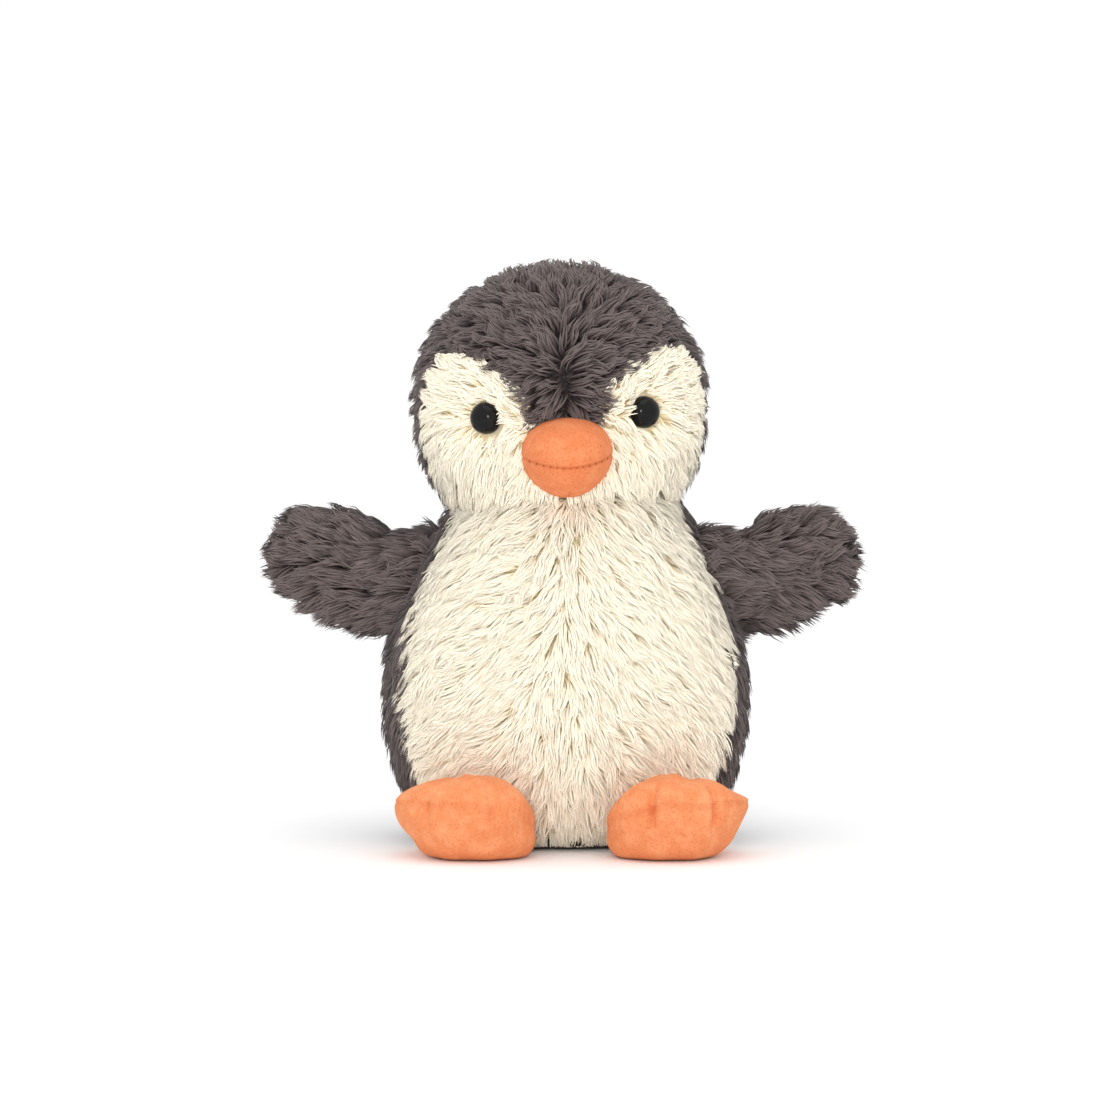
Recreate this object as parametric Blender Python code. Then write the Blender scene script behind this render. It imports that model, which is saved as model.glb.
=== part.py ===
"""Soft plush penguin, about 22 cm tall: sewn fabric panels over separate stuffing.

Frame: metres, +Z up, the penguin faces -Y, its own left is +X, and the floor is z = 0.
Every fabric panel is a shell whose outside is the height that its pile stands to.
The head, the wings and the feet are separate bodies that turn on their sewn seams.
"""
import math

import bmesh
import bpy
import numpy as np
from mathutils import Matrix, Vector

# ---- general ---------------------------------------------------------------
HALF_GAP = 0.00015          # half of the clearance at a seam between two panels
STUFFING_GAP = 0.0012       # clearance of a stuffing body inside its panels
AXIS_Y = 0.0115             # the standing axis of torso and head, set back so the feet balance it

# ---- torso -----------------------------------------------------------------
TORSO_HALF_WIDTH = 0.069
TORSO_HALF_DEPTH = 0.0575
TORSO_WIDEST_Z = 0.059
TORSO_SINK = 0.063          # how far below the widest ring the lower curve would close
TORSO_LOWER_POWER = 2.6
TORSO_NARROWING_X = 5.7     # narrowing per metre squared above the widest ring, sideways
TORSO_NARROWING_Y = 3.27    # the same, front to back
TORSO_PILE = 0.005          # panel thickness: backing cloth and its pile
BASE_TOP = 0.004
BASE_EDGE = 0.0015          # height of the rounded lower edge of the base panel
TORSO_BOTTOM = 0.0043
BELLY_SEAM_LOW = math.radians(54)
BELLY_SEAM_RISE = math.radians(22)

# ---- neck: the head turns and nods about one point --------------------------
NECK_Z = 0.108
NECK_DOME = 0.048           # top of the torso, a ball about the neck point
NECK_BALL_FROM = 0.1245     # height from which the torso is that ball
NECK_CUP = 0.0506           # hollow of the head around that ball
NECK_THREAD_RADIUS = 0.0490
NECK_THREAD_LATITUDE = math.radians(37)
NECK_OPENING = math.radians(80)
THREAD = 0.0005             # thread radius

# ---- head ------------------------------------------------------------------
HEAD_Z = 0.171
HEAD_HALF_WIDTH = 0.056
HEAD_HALF_DEPTH = 0.050
HEAD_RISE = 0.0515
HEAD_DROP = 0.0543
HEAD_LOWER_POWER = 2.6
HEAD_PILE = 0.005
HEAD_YAW = math.radians(2.5)    # the head is sewn on turned a little to the penguin's left
HEAD_LEAN = math.radians(-2)    # and leaning a little to its right
FACE_LOW = math.radians(-6)     # latitude of the dark peak above the beak
FACE_TOP = math.radians(23.5)   # latitude of the top edge of the pale face
FACE_PEAK = math.radians(14)    # half-width of the dark peak
FACE_BROW = math.radians(50)
FACE_SIDE = math.radians(60)
FACE_END = math.radians(85)     # where the face seam reaches the neck

# ---- eyes ------------------------------------------------------------------
EYE_ANGLE = math.radians(34.5)
EYE_LATITUDE = math.radians(-2.5)
EYE_RADIUS = 0.006
EYE_HEIGHT = 0.0055
EYE_SINK = 0.0037           # depth of the dome's flat back below the pile
SHANK_RADIUS = 0.002
SHANK_END = 0.013
WASHER_RADIUS = 0.0056
WASHER_DEPTH = 0.0058
WASHER_THICK = 0.0012
FIT = 0.00035

# ---- beak ------------------------------------------------------------------
BEAK_HALF_WIDTH = 0.0175
BEAK_SEAM_Z = 0.1480
BEAK_UP = 0.0178
BEAK_DOWN = 0.0132
BEAK_LENGTH = 0.022
BEAK_CLOTH = 0.002
BEAK_GAP = 0.0004

# ---- wings -----------------------------------------------------------------
SHOULDER_X = 0.057
SHOULDER_Z = 0.100
WING_RISE = math.radians(12)
WING_BALL = 0.012
WING_SOCKET = 0.0143
WING_THREAD_RADIUS = 0.013
WING_TIP = 0.061
WING_ROUND_FROM = 0.042
WING_HALF_HEIGHT = 0.0215
WING_NARROWING = 0.085
WING_HALF_THICK = 0.010
WING_PILE = 0.003
WING_SLOPE_HEIGHT = 1.15    # the wing widens from its seam like a fan
WING_SLOPE_THICK = 0.62

# ---- feet ------------------------------------------------------------------
FOOT_X = {1: 0.042, -1: 0.038}    # the right foot is sewn on nearer the middle
FOOT_Y = -0.056             # centre of the foot, measured from the standing axis
FOOT_SPLAY = math.radians(25)
FOOT_HALF_WIDTH = 0.0275
FOOT_HALF_LENGTH = 0.025
FOOT_HEEL_Z = 0.006
FOOT_TOE_Z = 0.0185
FOOT_TOP = 0.0165
FOOT_SOLE = 0.020
FOOT_CLOTH = 0.003
TOE_NOTCH = 0.0025
TOE_NOTCH_ANGLES = (math.radians(135), math.radians(80))
HEEL_THREAD_BACK = 0.0008
HEEL_THREAD_HALF = 0.0115

# ---- pellet pouch ----------------------------------------------------------
POUCH_HALF_WIDTH = 0.030
POUCH_HALF_DEPTH = 0.025
POUCH_HEIGHT = 0.020
POUCH_CLOTH = 0.0012

# ---- colours: base colour, roughness, metallic -------------------------------
FINISHES = {
    "charcoal_pile": ((0.115, 0.090, 0.087), 0.95, 0.0),
    "ivory_pile": ((0.870, 0.800, 0.650), 0.95, 0.0),
    "orange_plush": ((0.905, 0.330, 0.140), 0.90, 0.0),
    "polyester_stuffing": ((0.850, 0.850, 0.840), 1.0, 0.0),
    "eye_plastic": ((0.012, 0.011, 0.012), 0.08, 0.0),
    "washer_plastic": ((0.780, 0.780, 0.760), 0.45, 0.0),
    "pouch_cloth": ((0.640, 0.620, 0.580), 0.90, 0.0),
    "pellets": ((0.820, 0.820, 0.800), 0.50, 0.0),
    "thread": ((0.250, 0.210, 0.200), 0.80, 0.0),
}

NECK = Vector((0.0, AXIS_Y, NECK_Z))


# ---- meshes from grids of points -------------------------------------------
def grid_faces(rows, columns, wrap_rows=False, wrap_columns=False, first=0):
    """Quads between neighbouring points of a grid, as rows of vertex numbers."""
    numbers = first + np.arange(rows * columns).reshape(rows, columns)
    if wrap_rows:
        numbers = np.vstack([numbers, numbers[:1]])
    if wrap_columns:
        numbers = np.hstack([numbers, numbers[:, :1]])
    corners = (numbers[:-1, :-1], numbers[1:, :-1], numbers[1:, 1:], numbers[:-1, 1:])
    return np.stack([c.ravel() for c in corners], axis=1)


def welded(points, faces):
    """Join points that coincide, and drop the faces and corners that vanish."""
    _, keep, new = np.unique(np.round(points, 7), axis=0, return_index=True, return_inverse=True)
    new = new.ravel()
    solid_faces = []
    for face in faces:
        ring = [int(new[v]) for v in face]
        ring = [v for k, v in enumerate(ring) if v != ring[k - 1]]
        if len(set(ring)) >= 3:
            solid_faces.append(ring)
    return points[keep], solid_faces


def make_object(name, points, faces, finish, parent=None):
    """One closed, outward-facing object, its mesh measured from its parent's joint."""
    points, faces = welded(points, faces)
    origin = parent.location if parent else Vector()
    mesh = bpy.data.meshes.new(name)
    mesh.from_pydata((points - np.array(origin)).tolist(), [], faces)
    shape = bmesh.new()
    shape.from_mesh(mesh)
    if shape.calc_volume(signed=True) < 0:
        bmesh.ops.reverse_faces(shape, faces=shape.faces[:])
    bmesh.ops.triangulate(shape, faces=shape.faces[:], quad_method="SHORT_EDGE")
    shape.to_mesh(mesh)
    shape.free()
    mesh.shade_smooth()
    mesh.set_sharp_from_angle(angle=math.radians(40))
    if finish:
        mesh.materials.append(material(finish))
    obj = bpy.data.objects.new(name, mesh)
    bpy.context.scene.collection.objects.link(obj)
    obj.parent = parent
    return obj


def make_shell(name, outer, inner, finish, parent=None, wrap=False):
    """A panel between an outer and an inner grid, closed by walls along its free edges.

    With wrap, the grids run all the way round and have free edges only at their ends.
    """
    rows, columns = outer.shape[:2]
    count = rows * columns
    points = np.vstack([outer.reshape(-1, 3), inner.reshape(-1, 3)])
    outside = grid_faces(rows, columns, wrap_columns=wrap)
    inside = grid_faces(rows, columns, wrap_columns=wrap, first=count)[:, ::-1]
    numbers = np.arange(count).reshape(rows, columns)
    edges = [numbers[0], numbers[-1][::-1]]
    if wrap:
        edges = [np.append(edge, edge[0]) for edge in edges]
    else:
        edges += [numbers[::-1, 0], numbers[:, -1]]
    walls = [np.stack([e[1:], e[:-1], e[:-1] + count, e[1:] + count], axis=1)[:, ::-1] for e in edges]
    return make_object(name, points, np.vstack([outside, inside, *walls]), finish, parent)


def make_solid(name, grid, finish, parent=None, wrap_rows=False):
    """A body whose grid runs round in its columns and, in its rows, from pole to pole."""
    rows, columns = grid.shape[:2]
    faces = grid_faces(rows, columns, wrap_rows=wrap_rows, wrap_columns=True)
    return make_object(name, grid.reshape(-1, 3), faces, finish, parent)


def turned(profile, segments, frame):
    """Grid of a profile of (radius, height) points turned about the frame's Z axis."""
    radius, height = np.array(profile).T
    turn = np.linspace(0, 2 * np.pi, segments, endpoint=False)
    x = radius[:, None] * np.cos(turn)
    y = radius[:, None] * np.sin(turn)
    z = np.repeat(height[:, None], segments, axis=1)
    local = np.stack([x, y, z, np.ones_like(x)], axis=-1)
    return (local @ np.array(frame).T)[..., :3]


def ring_profile(radius, thickness, segments=5):
    """Profile of a round thread bent into a ring."""
    turn = np.linspace(0, 2 * np.pi, segments, endpoint=False)
    return np.stack([radius + thickness * np.cos(turn), thickness * np.sin(turn)], axis=1)


def frame_at(place, direction):
    """Frame at a place whose Z axis runs along a direction."""
    return Matrix.Translation(place) @ Vector(direction).to_track_quat("Z", "Y").to_matrix().to_4x4()


def material(finish):
    """The Principled material of a finish, made once."""
    found = bpy.data.materials.get(finish)
    if found:
        return found
    colour, roughness, metallic = FINISHES[finish]
    made = bpy.data.materials.new(finish)
    made.use_nodes = True
    shader = made.node_tree.nodes["Principled BSDF"]
    shader.inputs["Base Color"].default_value = (*colour, 1.0)
    shader.inputs["Roughness"].default_value = roughness
    shader.inputs["Metallic"].default_value = metallic
    return made


def joint_empty(name, place, turn_z=0.0, lean=0.0):
    """An empty on a joint's axis, the parent of what moves there."""
    empty = bpy.data.objects.new(name, None)
    empty.location = place
    empty.rotation_euler = (0.0, lean, turn_z)
    bpy.context.scene.collection.objects.link(empty)
    return empty


def cut(target, cutter):
    """Cut a solid out of a panel or a stuffing body."""
    cutter.hide_render = True
    cutter.display_type = "WIRE"
    boolean = target.modifiers.new(f"cut_{cutter.name}", "BOOLEAN")
    boolean.operation = "DIFFERENCE"
    boolean.object = cutter


def sided(grid, side):
    """The grid of a left-hand piece, moved half a seam off the middle, or its mirror image."""
    moved = grid + np.array([HALF_GAP, 0, 0])
    return moved * np.array([side, 1, 1])


# ---- torso -----------------------------------------------------------------
def torso_half_size(z, widest, narrowing, inset):
    """Half-width or half-depth of the torso at a height: a pear with a ball at its neck."""
    below = np.clip((TORSO_WIDEST_Z - z) / TORSO_SINK, 0, 1)
    above = np.clip(z - TORSO_WIDEST_Z, 0, None)
    pear = widest * (1 - below**TORSO_LOWER_POWER) ** (1 / TORSO_LOWER_POWER) - narrowing * above**2
    ball = np.sqrt(np.clip((NECK_DOME - inset) ** 2 - (z - NECK_Z) ** 2, 0, None))
    return np.where(z < NECK_BALL_FROM, np.maximum(pear - inset, ball), ball)


def torso_heights(inset):
    """Heights of the torso's rings: even steps up the pear, then latitudes of the neck ball."""
    body = TORSO_BOTTOM + (0.104 - TORSO_BOTTOM) * np.linspace(0, 1, 9) ** 1.15
    latitudes = np.linspace(math.radians(16), NECK_OPENING, 5)
    return np.append(body, NECK_Z + (NECK_DOME - inset) * np.sin(latitudes))


def torso_grid(angles, heights, inset):
    """Points of the torso at angles from the front towards +X; angles may differ by ring."""
    width = torso_half_size(heights, TORSO_HALF_WIDTH, TORSO_NARROWING_X, inset)
    depth = torso_half_size(heights, TORSO_HALF_DEPTH, TORSO_NARROWING_Y, inset)
    angles = np.broadcast_to(angles, (len(heights), np.shape(angles)[-1]))
    x = width[:, None] * np.sin(angles)
    y = AXIS_Y - depth[:, None] * np.cos(angles)
    return np.stack([x, y, np.broadcast_to(heights[:, None], x.shape)], axis=-1)


def torso_panel_grid(part, inset):
    """Half of the belly or half of the back, between the middle and the side seam."""
    heights = torso_heights(inset)
    width = torso_half_size(heights, TORSO_HALF_WIDTH, TORSO_NARROWING_X, inset)
    seam = BELLY_SEAM_LOW + BELLY_SEAM_RISE * np.minimum(heights / 0.125, 1) ** 0.7
    gap = HALF_GAP / width
    if part == "belly":
        angles = (seam - gap)[:, None] * np.linspace(0, 1, 6)
    else:
        angles = np.pi - (np.pi - seam - gap)[:, None] * np.linspace(1, 0, 8)
    return torso_grid(angles, heights, inset)


def ellipse_disc(half_width, half_depth, levels, segments):
    """Grid of a closed flat oval body; each level is (height, scale)."""
    turn = np.linspace(0, 2 * np.pi, segments, endpoint=False)
    rows = [(levels[0][0], 0.0), *levels, (levels[-1][0], 0.0)]
    height, scale = np.array(rows).T
    x = half_width * scale[:, None] * np.sin(turn)
    y = AXIS_Y - half_depth * scale[:, None] * np.cos(turn)
    return np.stack([x, y, np.broadcast_to(height[:, None], x.shape)], axis=-1)


def pouch_levels(inset, rows=4):
    """Heights and scales of the pouch's pillow-shaped top."""
    arc = np.linspace(0, math.radians(78), rows)
    base = TORSO_BOTTOM + POUCH_CLOTH + 2 * HALF_GAP + inset
    return [(base + (POUCH_HEIGHT - 2 * inset) * math.sin(a), math.cos(a) ** 0.5) for a in arc]


def build_torso():
    """Belly, back and base panels, the stuffing and the pellet pouch inside it."""
    shoulders = [shoulder_cutter(side) for side in (1, -1)]
    for side, hand, shoulder in ((1, "left", shoulders[0]), (-1, "right", shoulders[1])):
        for part, finish in (("belly", "ivory_pile"), ("back", "charcoal_pile")):
            outer = sided(torso_panel_grid(part, 0.0), side)
            inner = sided(torso_panel_grid(part, TORSO_PILE), side)
            cut(make_shell(f"{part}_{hand}", outer, inner, finish), shoulder)
    low = np.array([TORSO_BOTTOM])
    base_width = float(torso_half_size(low, TORSO_HALF_WIDTH, TORSO_NARROWING_X, 0.0)[0])
    base_depth = float(torso_half_size(low, TORSO_HALF_DEPTH, TORSO_NARROWING_Y, 0.0)[0])
    levels = [(0.0, 0.95), (BASE_EDGE, 1.0), (BASE_TOP, 1.0)]
    make_solid("base_panel", ellipse_disc(base_width, base_depth, levels, 28), "charcoal_pile")
    build_body_stuffing(shoulders)
    build_pouch()


def build_body_stuffing(shoulders):
    """Soft filling of the torso, hollowed below for the pouch and at the sides for the wings."""
    segments = 24
    turn = np.linspace(0, 2 * np.pi, segments, endpoint=False)
    inset = TORSO_PILE + STUFFING_GAP
    skin = torso_grid(turn, torso_heights(inset), inset)
    recess = [(z + STUFFING_GAP, scale * 1.06) for z, scale in pouch_levels(0.0)][::-1]
    recess.append((TORSO_BOTTOM, recess[-1][1]))
    hollow = ellipse_disc(POUCH_HALF_WIDTH, POUCH_HALF_DEPTH, recess, segments)[:-1]
    crown = np.broadcast_to(NECK + Vector((0, 0, NECK_DOME - inset)), (1, segments, 3))
    stuffing = make_solid("body_stuffing", np.vstack([hollow, skin, crown]), "polyester_stuffing")
    for shoulder in shoulders:
        cut(stuffing, shoulder)


def build_pouch():
    """Cloth pouch of plastic pellets that weighs the seat down."""
    segments = 20
    floor = [(TORSO_BOTTOM, 1.0), (TORSO_BOTTOM + POUCH_CLOTH, 1.0)]
    make_solid("pouch_lower", ellipse_disc(POUCH_HALF_WIDTH, POUCH_HALF_DEPTH, floor, segments), "pouch_cloth")
    outer = ellipse_disc(POUCH_HALF_WIDTH, POUCH_HALF_DEPTH, pouch_levels(0.0), segments)[1:]
    inside = (POUCH_HALF_WIDTH - POUCH_CLOTH, POUCH_HALF_DEPTH - POUCH_CLOTH)
    lowered = [(z - POUCH_CLOTH * k / 3, scale) for k, (z, scale) in enumerate(pouch_levels(0.0))]
    inner = ellipse_disc(*inside, lowered, segments)[1:]
    make_shell("pouch_upper", outer, inner, "pouch_cloth", wrap=True)
    margin = POUCH_CLOTH + 0.0006
    fill = [(z + (HALF_GAP if k == 0 else -margin * k / 3), s) for k, (z, s) in enumerate(pouch_levels(0.0))]
    size = (POUCH_HALF_WIDTH - margin, POUCH_HALF_DEPTH - margin)
    make_solid("pellet_fill", ellipse_disc(*size, fill, segments), "pellets")


# ---- head ------------------------------------------------------------------
def head_points(angle, latitude, inset=0.0):
    """Points of the head at angles from the front towards +X and at latitudes."""
    angle, latitude = np.broadcast_arrays(angle, latitude)
    sine, cosine = np.sin(latitude), np.clip(np.cos(latitude), 0, None)
    power = np.where(latitude < 0, 2 / HEAD_LOWER_POWER, 1.0)
    ring = cosine**power
    height = np.where(latitude < 0, -(HEAD_DROP - inset), HEAD_RISE - inset) * np.abs(sine) ** power
    x = (HEAD_HALF_WIDTH - inset) * ring * np.sin(angle)
    y = AXIS_Y - (HEAD_HALF_DEPTH - inset) * ring * np.cos(angle)
    return np.stack([x, y, HEAD_Z + height], axis=-1)


def neck_latitude(angle, inset):
    """Latitude where the head's surface meets the hollow for the neck, found by halving."""
    low = np.full(np.shape(angle), math.radians(-80))
    high = np.zeros(np.shape(angle))
    for _ in range(40):
        middle = (low + high) / 2
        reach = np.linalg.norm(head_points(angle, middle, inset) - np.array(NECK), axis=-1)
        low = np.where(reach < NECK_CUP, middle, low)
        high = np.where(reach < NECK_CUP, high, middle)
    return high


def face_seam(angle):
    """Latitude of the seam round the pale face: a low peak, an arched brow, a falling side."""
    rise = np.clip((angle - FACE_PEAK) / (FACE_BROW - FACE_PEAK), 0, 1)
    arch = np.sqrt(np.sin(rise * np.pi / 2))
    fall = np.clip((angle - FACE_SIDE) / (FACE_END - FACE_SIDE), 0, None) ** 2
    depth = FACE_TOP - neck_latitude(np.array(FACE_END), 0.0)
    return FACE_LOW + (FACE_TOP - FACE_LOW) * arch - depth * fall


def face_edge(angle, direction):
    """The face seam moved half a seam gap up (+1, crown) or down (-1, cheek)."""
    reach = HALF_GAP / HEAD_HALF_DEPTH
    shifts = reach * np.linspace(-1, 1, 9)
    moved = [direction * face_seam(angle + s) + math.sqrt(max(reach**2 - s**2, 0)) for s in shifts]
    return direction * np.max(moved, axis=0)


def face_angles():
    """Angles of the face panel's columns, closest together where its seam turns down."""
    front = np.linspace(0, FACE_SIDE, 9)
    side = np.linspace(FACE_SIDE, FACE_END - math.radians(1), 6)[1:]
    return np.append(front, side)


def head_panel_grid(part, inset):
    """Half of the crown or one cheek, from its lower edge to its upper one."""
    if part == "cheek":
        angles = face_angles()
        low = neck_latitude(angles, inset)
        high = face_edge(angles, -1)
        steps = np.linspace(0, 1, 7)
    else:
        angles = np.append(face_angles(), np.linspace(FACE_END, np.pi, 8))
        low = np.maximum(neck_latitude(angles, inset), face_edge(angles, 1))
        high = np.full(angles.shape, np.pi / 2)
        steps = np.linspace(0, 1, 8)
    latitudes = low + (high - low) * steps[:, None]
    return head_points(angles, latitudes, inset)


def eye_frame(side):
    """Frame on the cheek's surface whose Z axis points out of the face."""
    near = 1e-4
    place = head_points(EYE_ANGLE, EYE_LATITUDE)
    across = head_points(EYE_ANGLE + near, EYE_LATITUDE) - place
    upward = head_points(EYE_ANGLE, EYE_LATITUDE + near) - place
    out = np.cross(across, upward)
    mirror = np.array([side, 1, 1])
    return frame_at(Vector(place * mirror), Vector(out * mirror).normalized())


def eye_profile():
    """Dome with a rounded rim, flat back and shank, from tip to tip."""
    arc = np.linspace(0, math.pi / 2, 5)
    dome = [(EYE_RADIUS * math.sin(a), -EYE_SINK + EYE_HEIGHT * math.cos(a)) for a in arc]
    shank = [(SHANK_RADIUS, -EYE_SINK), (SHANK_RADIUS, -SHANK_END), (0.0, -SHANK_END)]
    return dome + shank


def build_eye(side, hand, head, cheek, stuffing):
    """A safety eye: glossy dome and shank in front, locking washer behind the cloth."""
    frame = eye_frame(side)
    make_solid(f"eye_{hand}", turned(eye_profile(), 14, frame), "eye_plastic", head)
    back = -WASHER_DEPTH - WASHER_THICK
    washer = [(SHANK_RADIUS + FIT, -WASHER_DEPTH), (WASHER_RADIUS, -WASHER_DEPTH),
              (WASHER_RADIUS, back), (SHANK_RADIUS + FIT, back)]
    make_solid(f"eye_washer_{hand}", turned(washer, 14, frame), "washer_plastic", head, wrap_rows=True)
    seat, bore, above = EYE_RADIUS + FIT, SHANK_RADIUS + FIT, 0.004
    pocket = [(0, above), (seat, above), (seat, -EYE_SINK - FIT), (bore, -EYE_SINK - FIT),
              (bore, -0.009), (0, -0.009)]
    cut(cheek, make_solid(f"eye_pocket_{hand}", turned(pocket, 14, frame), None, head))
    seat = WASHER_RADIUS + 2 * FIT
    well = [(0, above), (seat, above), (seat, back - FIT), (bore, back - FIT),
            (bore, -SHANK_END - FIT), (0, -SHANK_END - FIT)]
    cut(stuffing, make_solid(f"washer_well_{hand}", turned(well, 14, frame), None, head))


def face_depth(x, z):
    """Y of the head's front surface at a place across and up."""
    below = np.clip((HEAD_Z - z) / HEAD_DROP, 0, 1)
    above = np.clip((z - HEAD_Z) / HEAD_RISE, 0, 1)
    ring = (1 - below**HEAD_LOWER_POWER) ** (1 / HEAD_LOWER_POWER) * np.sqrt(1 - above**2)
    return AXIS_Y - HEAD_HALF_DEPTH * ring * np.sqrt(1 - (x / (HEAD_HALF_WIDTH * ring)) ** 2)


def beak_grid(turn, reach, inset, seam_gap=0.0, length=BEAK_LENGTH):
    """Points of the beak: turn runs round its base, reach from the base (1) to the tip (0)."""
    height = np.where(np.sin(turn) > 0, BEAK_UP, BEAK_DOWN) - inset
    x = (BEAK_HALF_WIDTH - inset) * reach * np.cos(turn)
    z = BEAK_SEAM_Z + height * reach * np.sin(turn)
    bulge = max(length - inset, 0.0) * (1 - reach**2.2) ** 0.6
    y = face_depth(x, z) - BEAK_GAP - bulge
    return np.stack([x, y, z + seam_gap], axis=-1)


def build_beak(head):
    """Upper and lower beak panels sewn along a level seam, over one stuffing body."""
    reach = np.cos(np.linspace(0, np.pi / 2, 6))[:, None]
    for name, first, gap in (("beak_upper", 0.0, HALF_GAP), ("beak_lower", np.pi, -HALF_GAP)):
        turn = first + np.linspace(0, np.pi, 10)
        outer = beak_grid(turn, reach, 0.0, gap)
        inner = beak_grid(turn, reach, BEAK_CLOTH, gap)
        make_shell(name, outer, inner, "orange_plush", head)
    turn = np.linspace(0, 2 * np.pi, 18, endpoint=False)
    inset = BEAK_CLOTH + 0.0006
    front = beak_grid(turn, reach, inset)
    back = beak_grid(turn, np.linspace(0, 1, 4)[:-1, None], inset, length=0.0)
    make_solid("beak_stuffing", np.vstack([back, front]), "polyester_stuffing", head)


def build_head():
    """Crown and cheek panels, the stuffing they hold, the eyes and the beak."""
    head = joint_empty("head_joint", NECK, HEAD_YAW, HEAD_LEAN)
    turn = np.linspace(0, 2 * np.pi, 24, endpoint=False)
    inset = HEAD_PILE + STUFFING_GAP
    rim = neck_latitude(turn, inset)
    skin = head_points(turn, rim + (np.pi / 2 - rim) * np.linspace(0, 1, 9)[:, None], inset)
    rim_out = skin[0] - np.array(NECK)
    rim_rise = np.arcsin(rim_out[:, 2] / NECK_CUP)
    cup_rise = np.pi / 2 - (np.pi / 2 - rim_rise) * np.linspace(0, 1, 5)[:-1, None]
    heading = np.arctan2(rim_out[:, 1], rim_out[:, 0])
    cup = np.stack([np.cos(cup_rise) * np.cos(heading), np.cos(cup_rise) * np.sin(heading),
                    np.broadcast_to(np.sin(cup_rise), cup_rise.shape)], axis=-1)
    grid = np.vstack([np.array(NECK) + NECK_CUP * cup, skin])
    stuffing = make_solid("head_stuffing", grid, "polyester_stuffing", head)
    for side, hand in ((1, "left"), (-1, "right")):
        panels = {}
        for part, finish in (("crown", "charcoal_pile"), ("cheek", "ivory_pile")):
            outer = sided(head_panel_grid(part, 0.0), side)
            inner = sided(head_panel_grid(part, HEAD_PILE), side)
            panels[part] = make_shell(f"{part}_{hand}", outer, inner, finish, head)
        build_eye(side, hand, head, panels["cheek"], stuffing)
    build_beak(head)
    rise = NECK_THREAD_RADIUS * math.sin(NECK_THREAD_LATITUDE)
    ring = ring_profile(NECK_THREAD_RADIUS * math.cos(NECK_THREAD_LATITUDE), THREAD)
    frame = frame_at(NECK + Vector((0, 0, rise)), (0, 0, 1))
    neck = joint_empty("neck_joint", NECK)
    make_solid("neck_thread", turned(ring, 30, frame), "thread", neck, wrap_rows=True)


# ---- wings -----------------------------------------------------------------
def shoulder_place(side):
    """The point that a wing turns about."""
    return Vector((side * SHOULDER_X, AXIS_Y, SHOULDER_Z))


def shoulder_cutter(side):
    """The hollow in the torso around a wing's root."""
    arc = np.linspace(0, np.pi, 11)
    profile = [(WING_SOCKET * math.sin(a), WING_SOCKET * math.cos(a)) for a in arc]
    frame = frame_at(shoulder_place(side), (side, 0, 0))
    return make_solid(f"shoulder_hollow_{'left' if side > 0 else 'right'}", turned(profile, 20, frame), None)


def wing_half_size(along, widest, slope, inset):
    """Half-height or half-thickness: a ball at the root, a fan, then a blade with a round end."""
    ball = np.sqrt(np.clip((WING_BALL - inset) ** 2 - along**2, 0, None))
    past = np.clip((along - WING_ROUND_FROM) / (WING_TIP - inset - WING_ROUND_FROM), 0, 1)
    blade = (widest - inset) * np.sqrt(1 - past**2)
    return np.maximum(ball, np.minimum(slope * along - inset * math.hypot(1, slope), blade))


def wing_grid(turn, inset):
    """Points of a wing along its length and round its section, in its own frame."""
    root = -(WING_BALL - inset) * np.cos(np.linspace(0, math.radians(135), 5))
    blade = np.linspace(0.013, WING_ROUND_FROM, 4)
    tip = WING_ROUND_FROM + (WING_TIP - inset - WING_ROUND_FROM) * np.sin(np.linspace(0, np.pi / 2, 5)[1:])
    along = np.concatenate([root, blade, tip])
    widest = WING_HALF_HEIGHT - WING_NARROWING * np.clip(along - 0.022, 0, None)
    height = wing_half_size(along, widest, WING_SLOPE_HEIGHT, inset)
    thick = wing_half_size(along, WING_HALF_THICK, WING_SLOPE_THICK, inset)
    across = thick[:, None] * np.sin(turn)
    upward = height[:, None] * np.cos(turn)
    return np.stack([np.broadcast_to(along[:, None], across.shape), across, upward], axis=-1)


def placed_wing(grid, side):
    """The wing's grid set at its shoulder, rising outwards."""
    along, across, upward = np.moveaxis(grid, -1, 0)
    x = along * math.cos(WING_RISE) - upward * math.sin(WING_RISE)
    z = along * math.sin(WING_RISE) + upward * math.cos(WING_RISE)
    return np.array(shoulder_place(side)) + np.stack([side * x, across, z], axis=-1)


def build_wing(side, hand):
    """Front and back panels round a stuffing body, and the thread that sews the wing on."""
    wing = joint_empty(f"wing_{hand}_joint", shoulder_place(side))
    for part, first, gap in (("front", np.pi, -HALF_GAP), ("back", 0.0, HALF_GAP)):
        turn = first + np.linspace(0, np.pi, 7)
        shift = np.array([0, gap, 0])
        outer = placed_wing(wing_grid(turn, 0.0), side) + shift
        inner = placed_wing(wing_grid(turn, WING_PILE), side) + shift
        make_shell(f"wing_{part}_{hand}", outer, inner, "charcoal_pile", wing)
    turn = np.linspace(0, 2 * np.pi, 12, endpoint=False)
    grid = placed_wing(wing_grid(turn, WING_PILE + 0.0009), side)
    make_solid(f"wing_stuffing_{hand}", grid, "polyester_stuffing", wing)
    shoulder = joint_empty(f"shoulder_{hand}_joint", shoulder_place(side))
    ring = ring_profile(WING_THREAD_RADIUS, THREAD)
    frame = frame_at(shoulder_place(side), (side, 0, 0))
    make_solid(f"wing_thread_{hand}", turned(ring, 20, frame), "thread", shoulder, wrap_rows=True)


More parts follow.
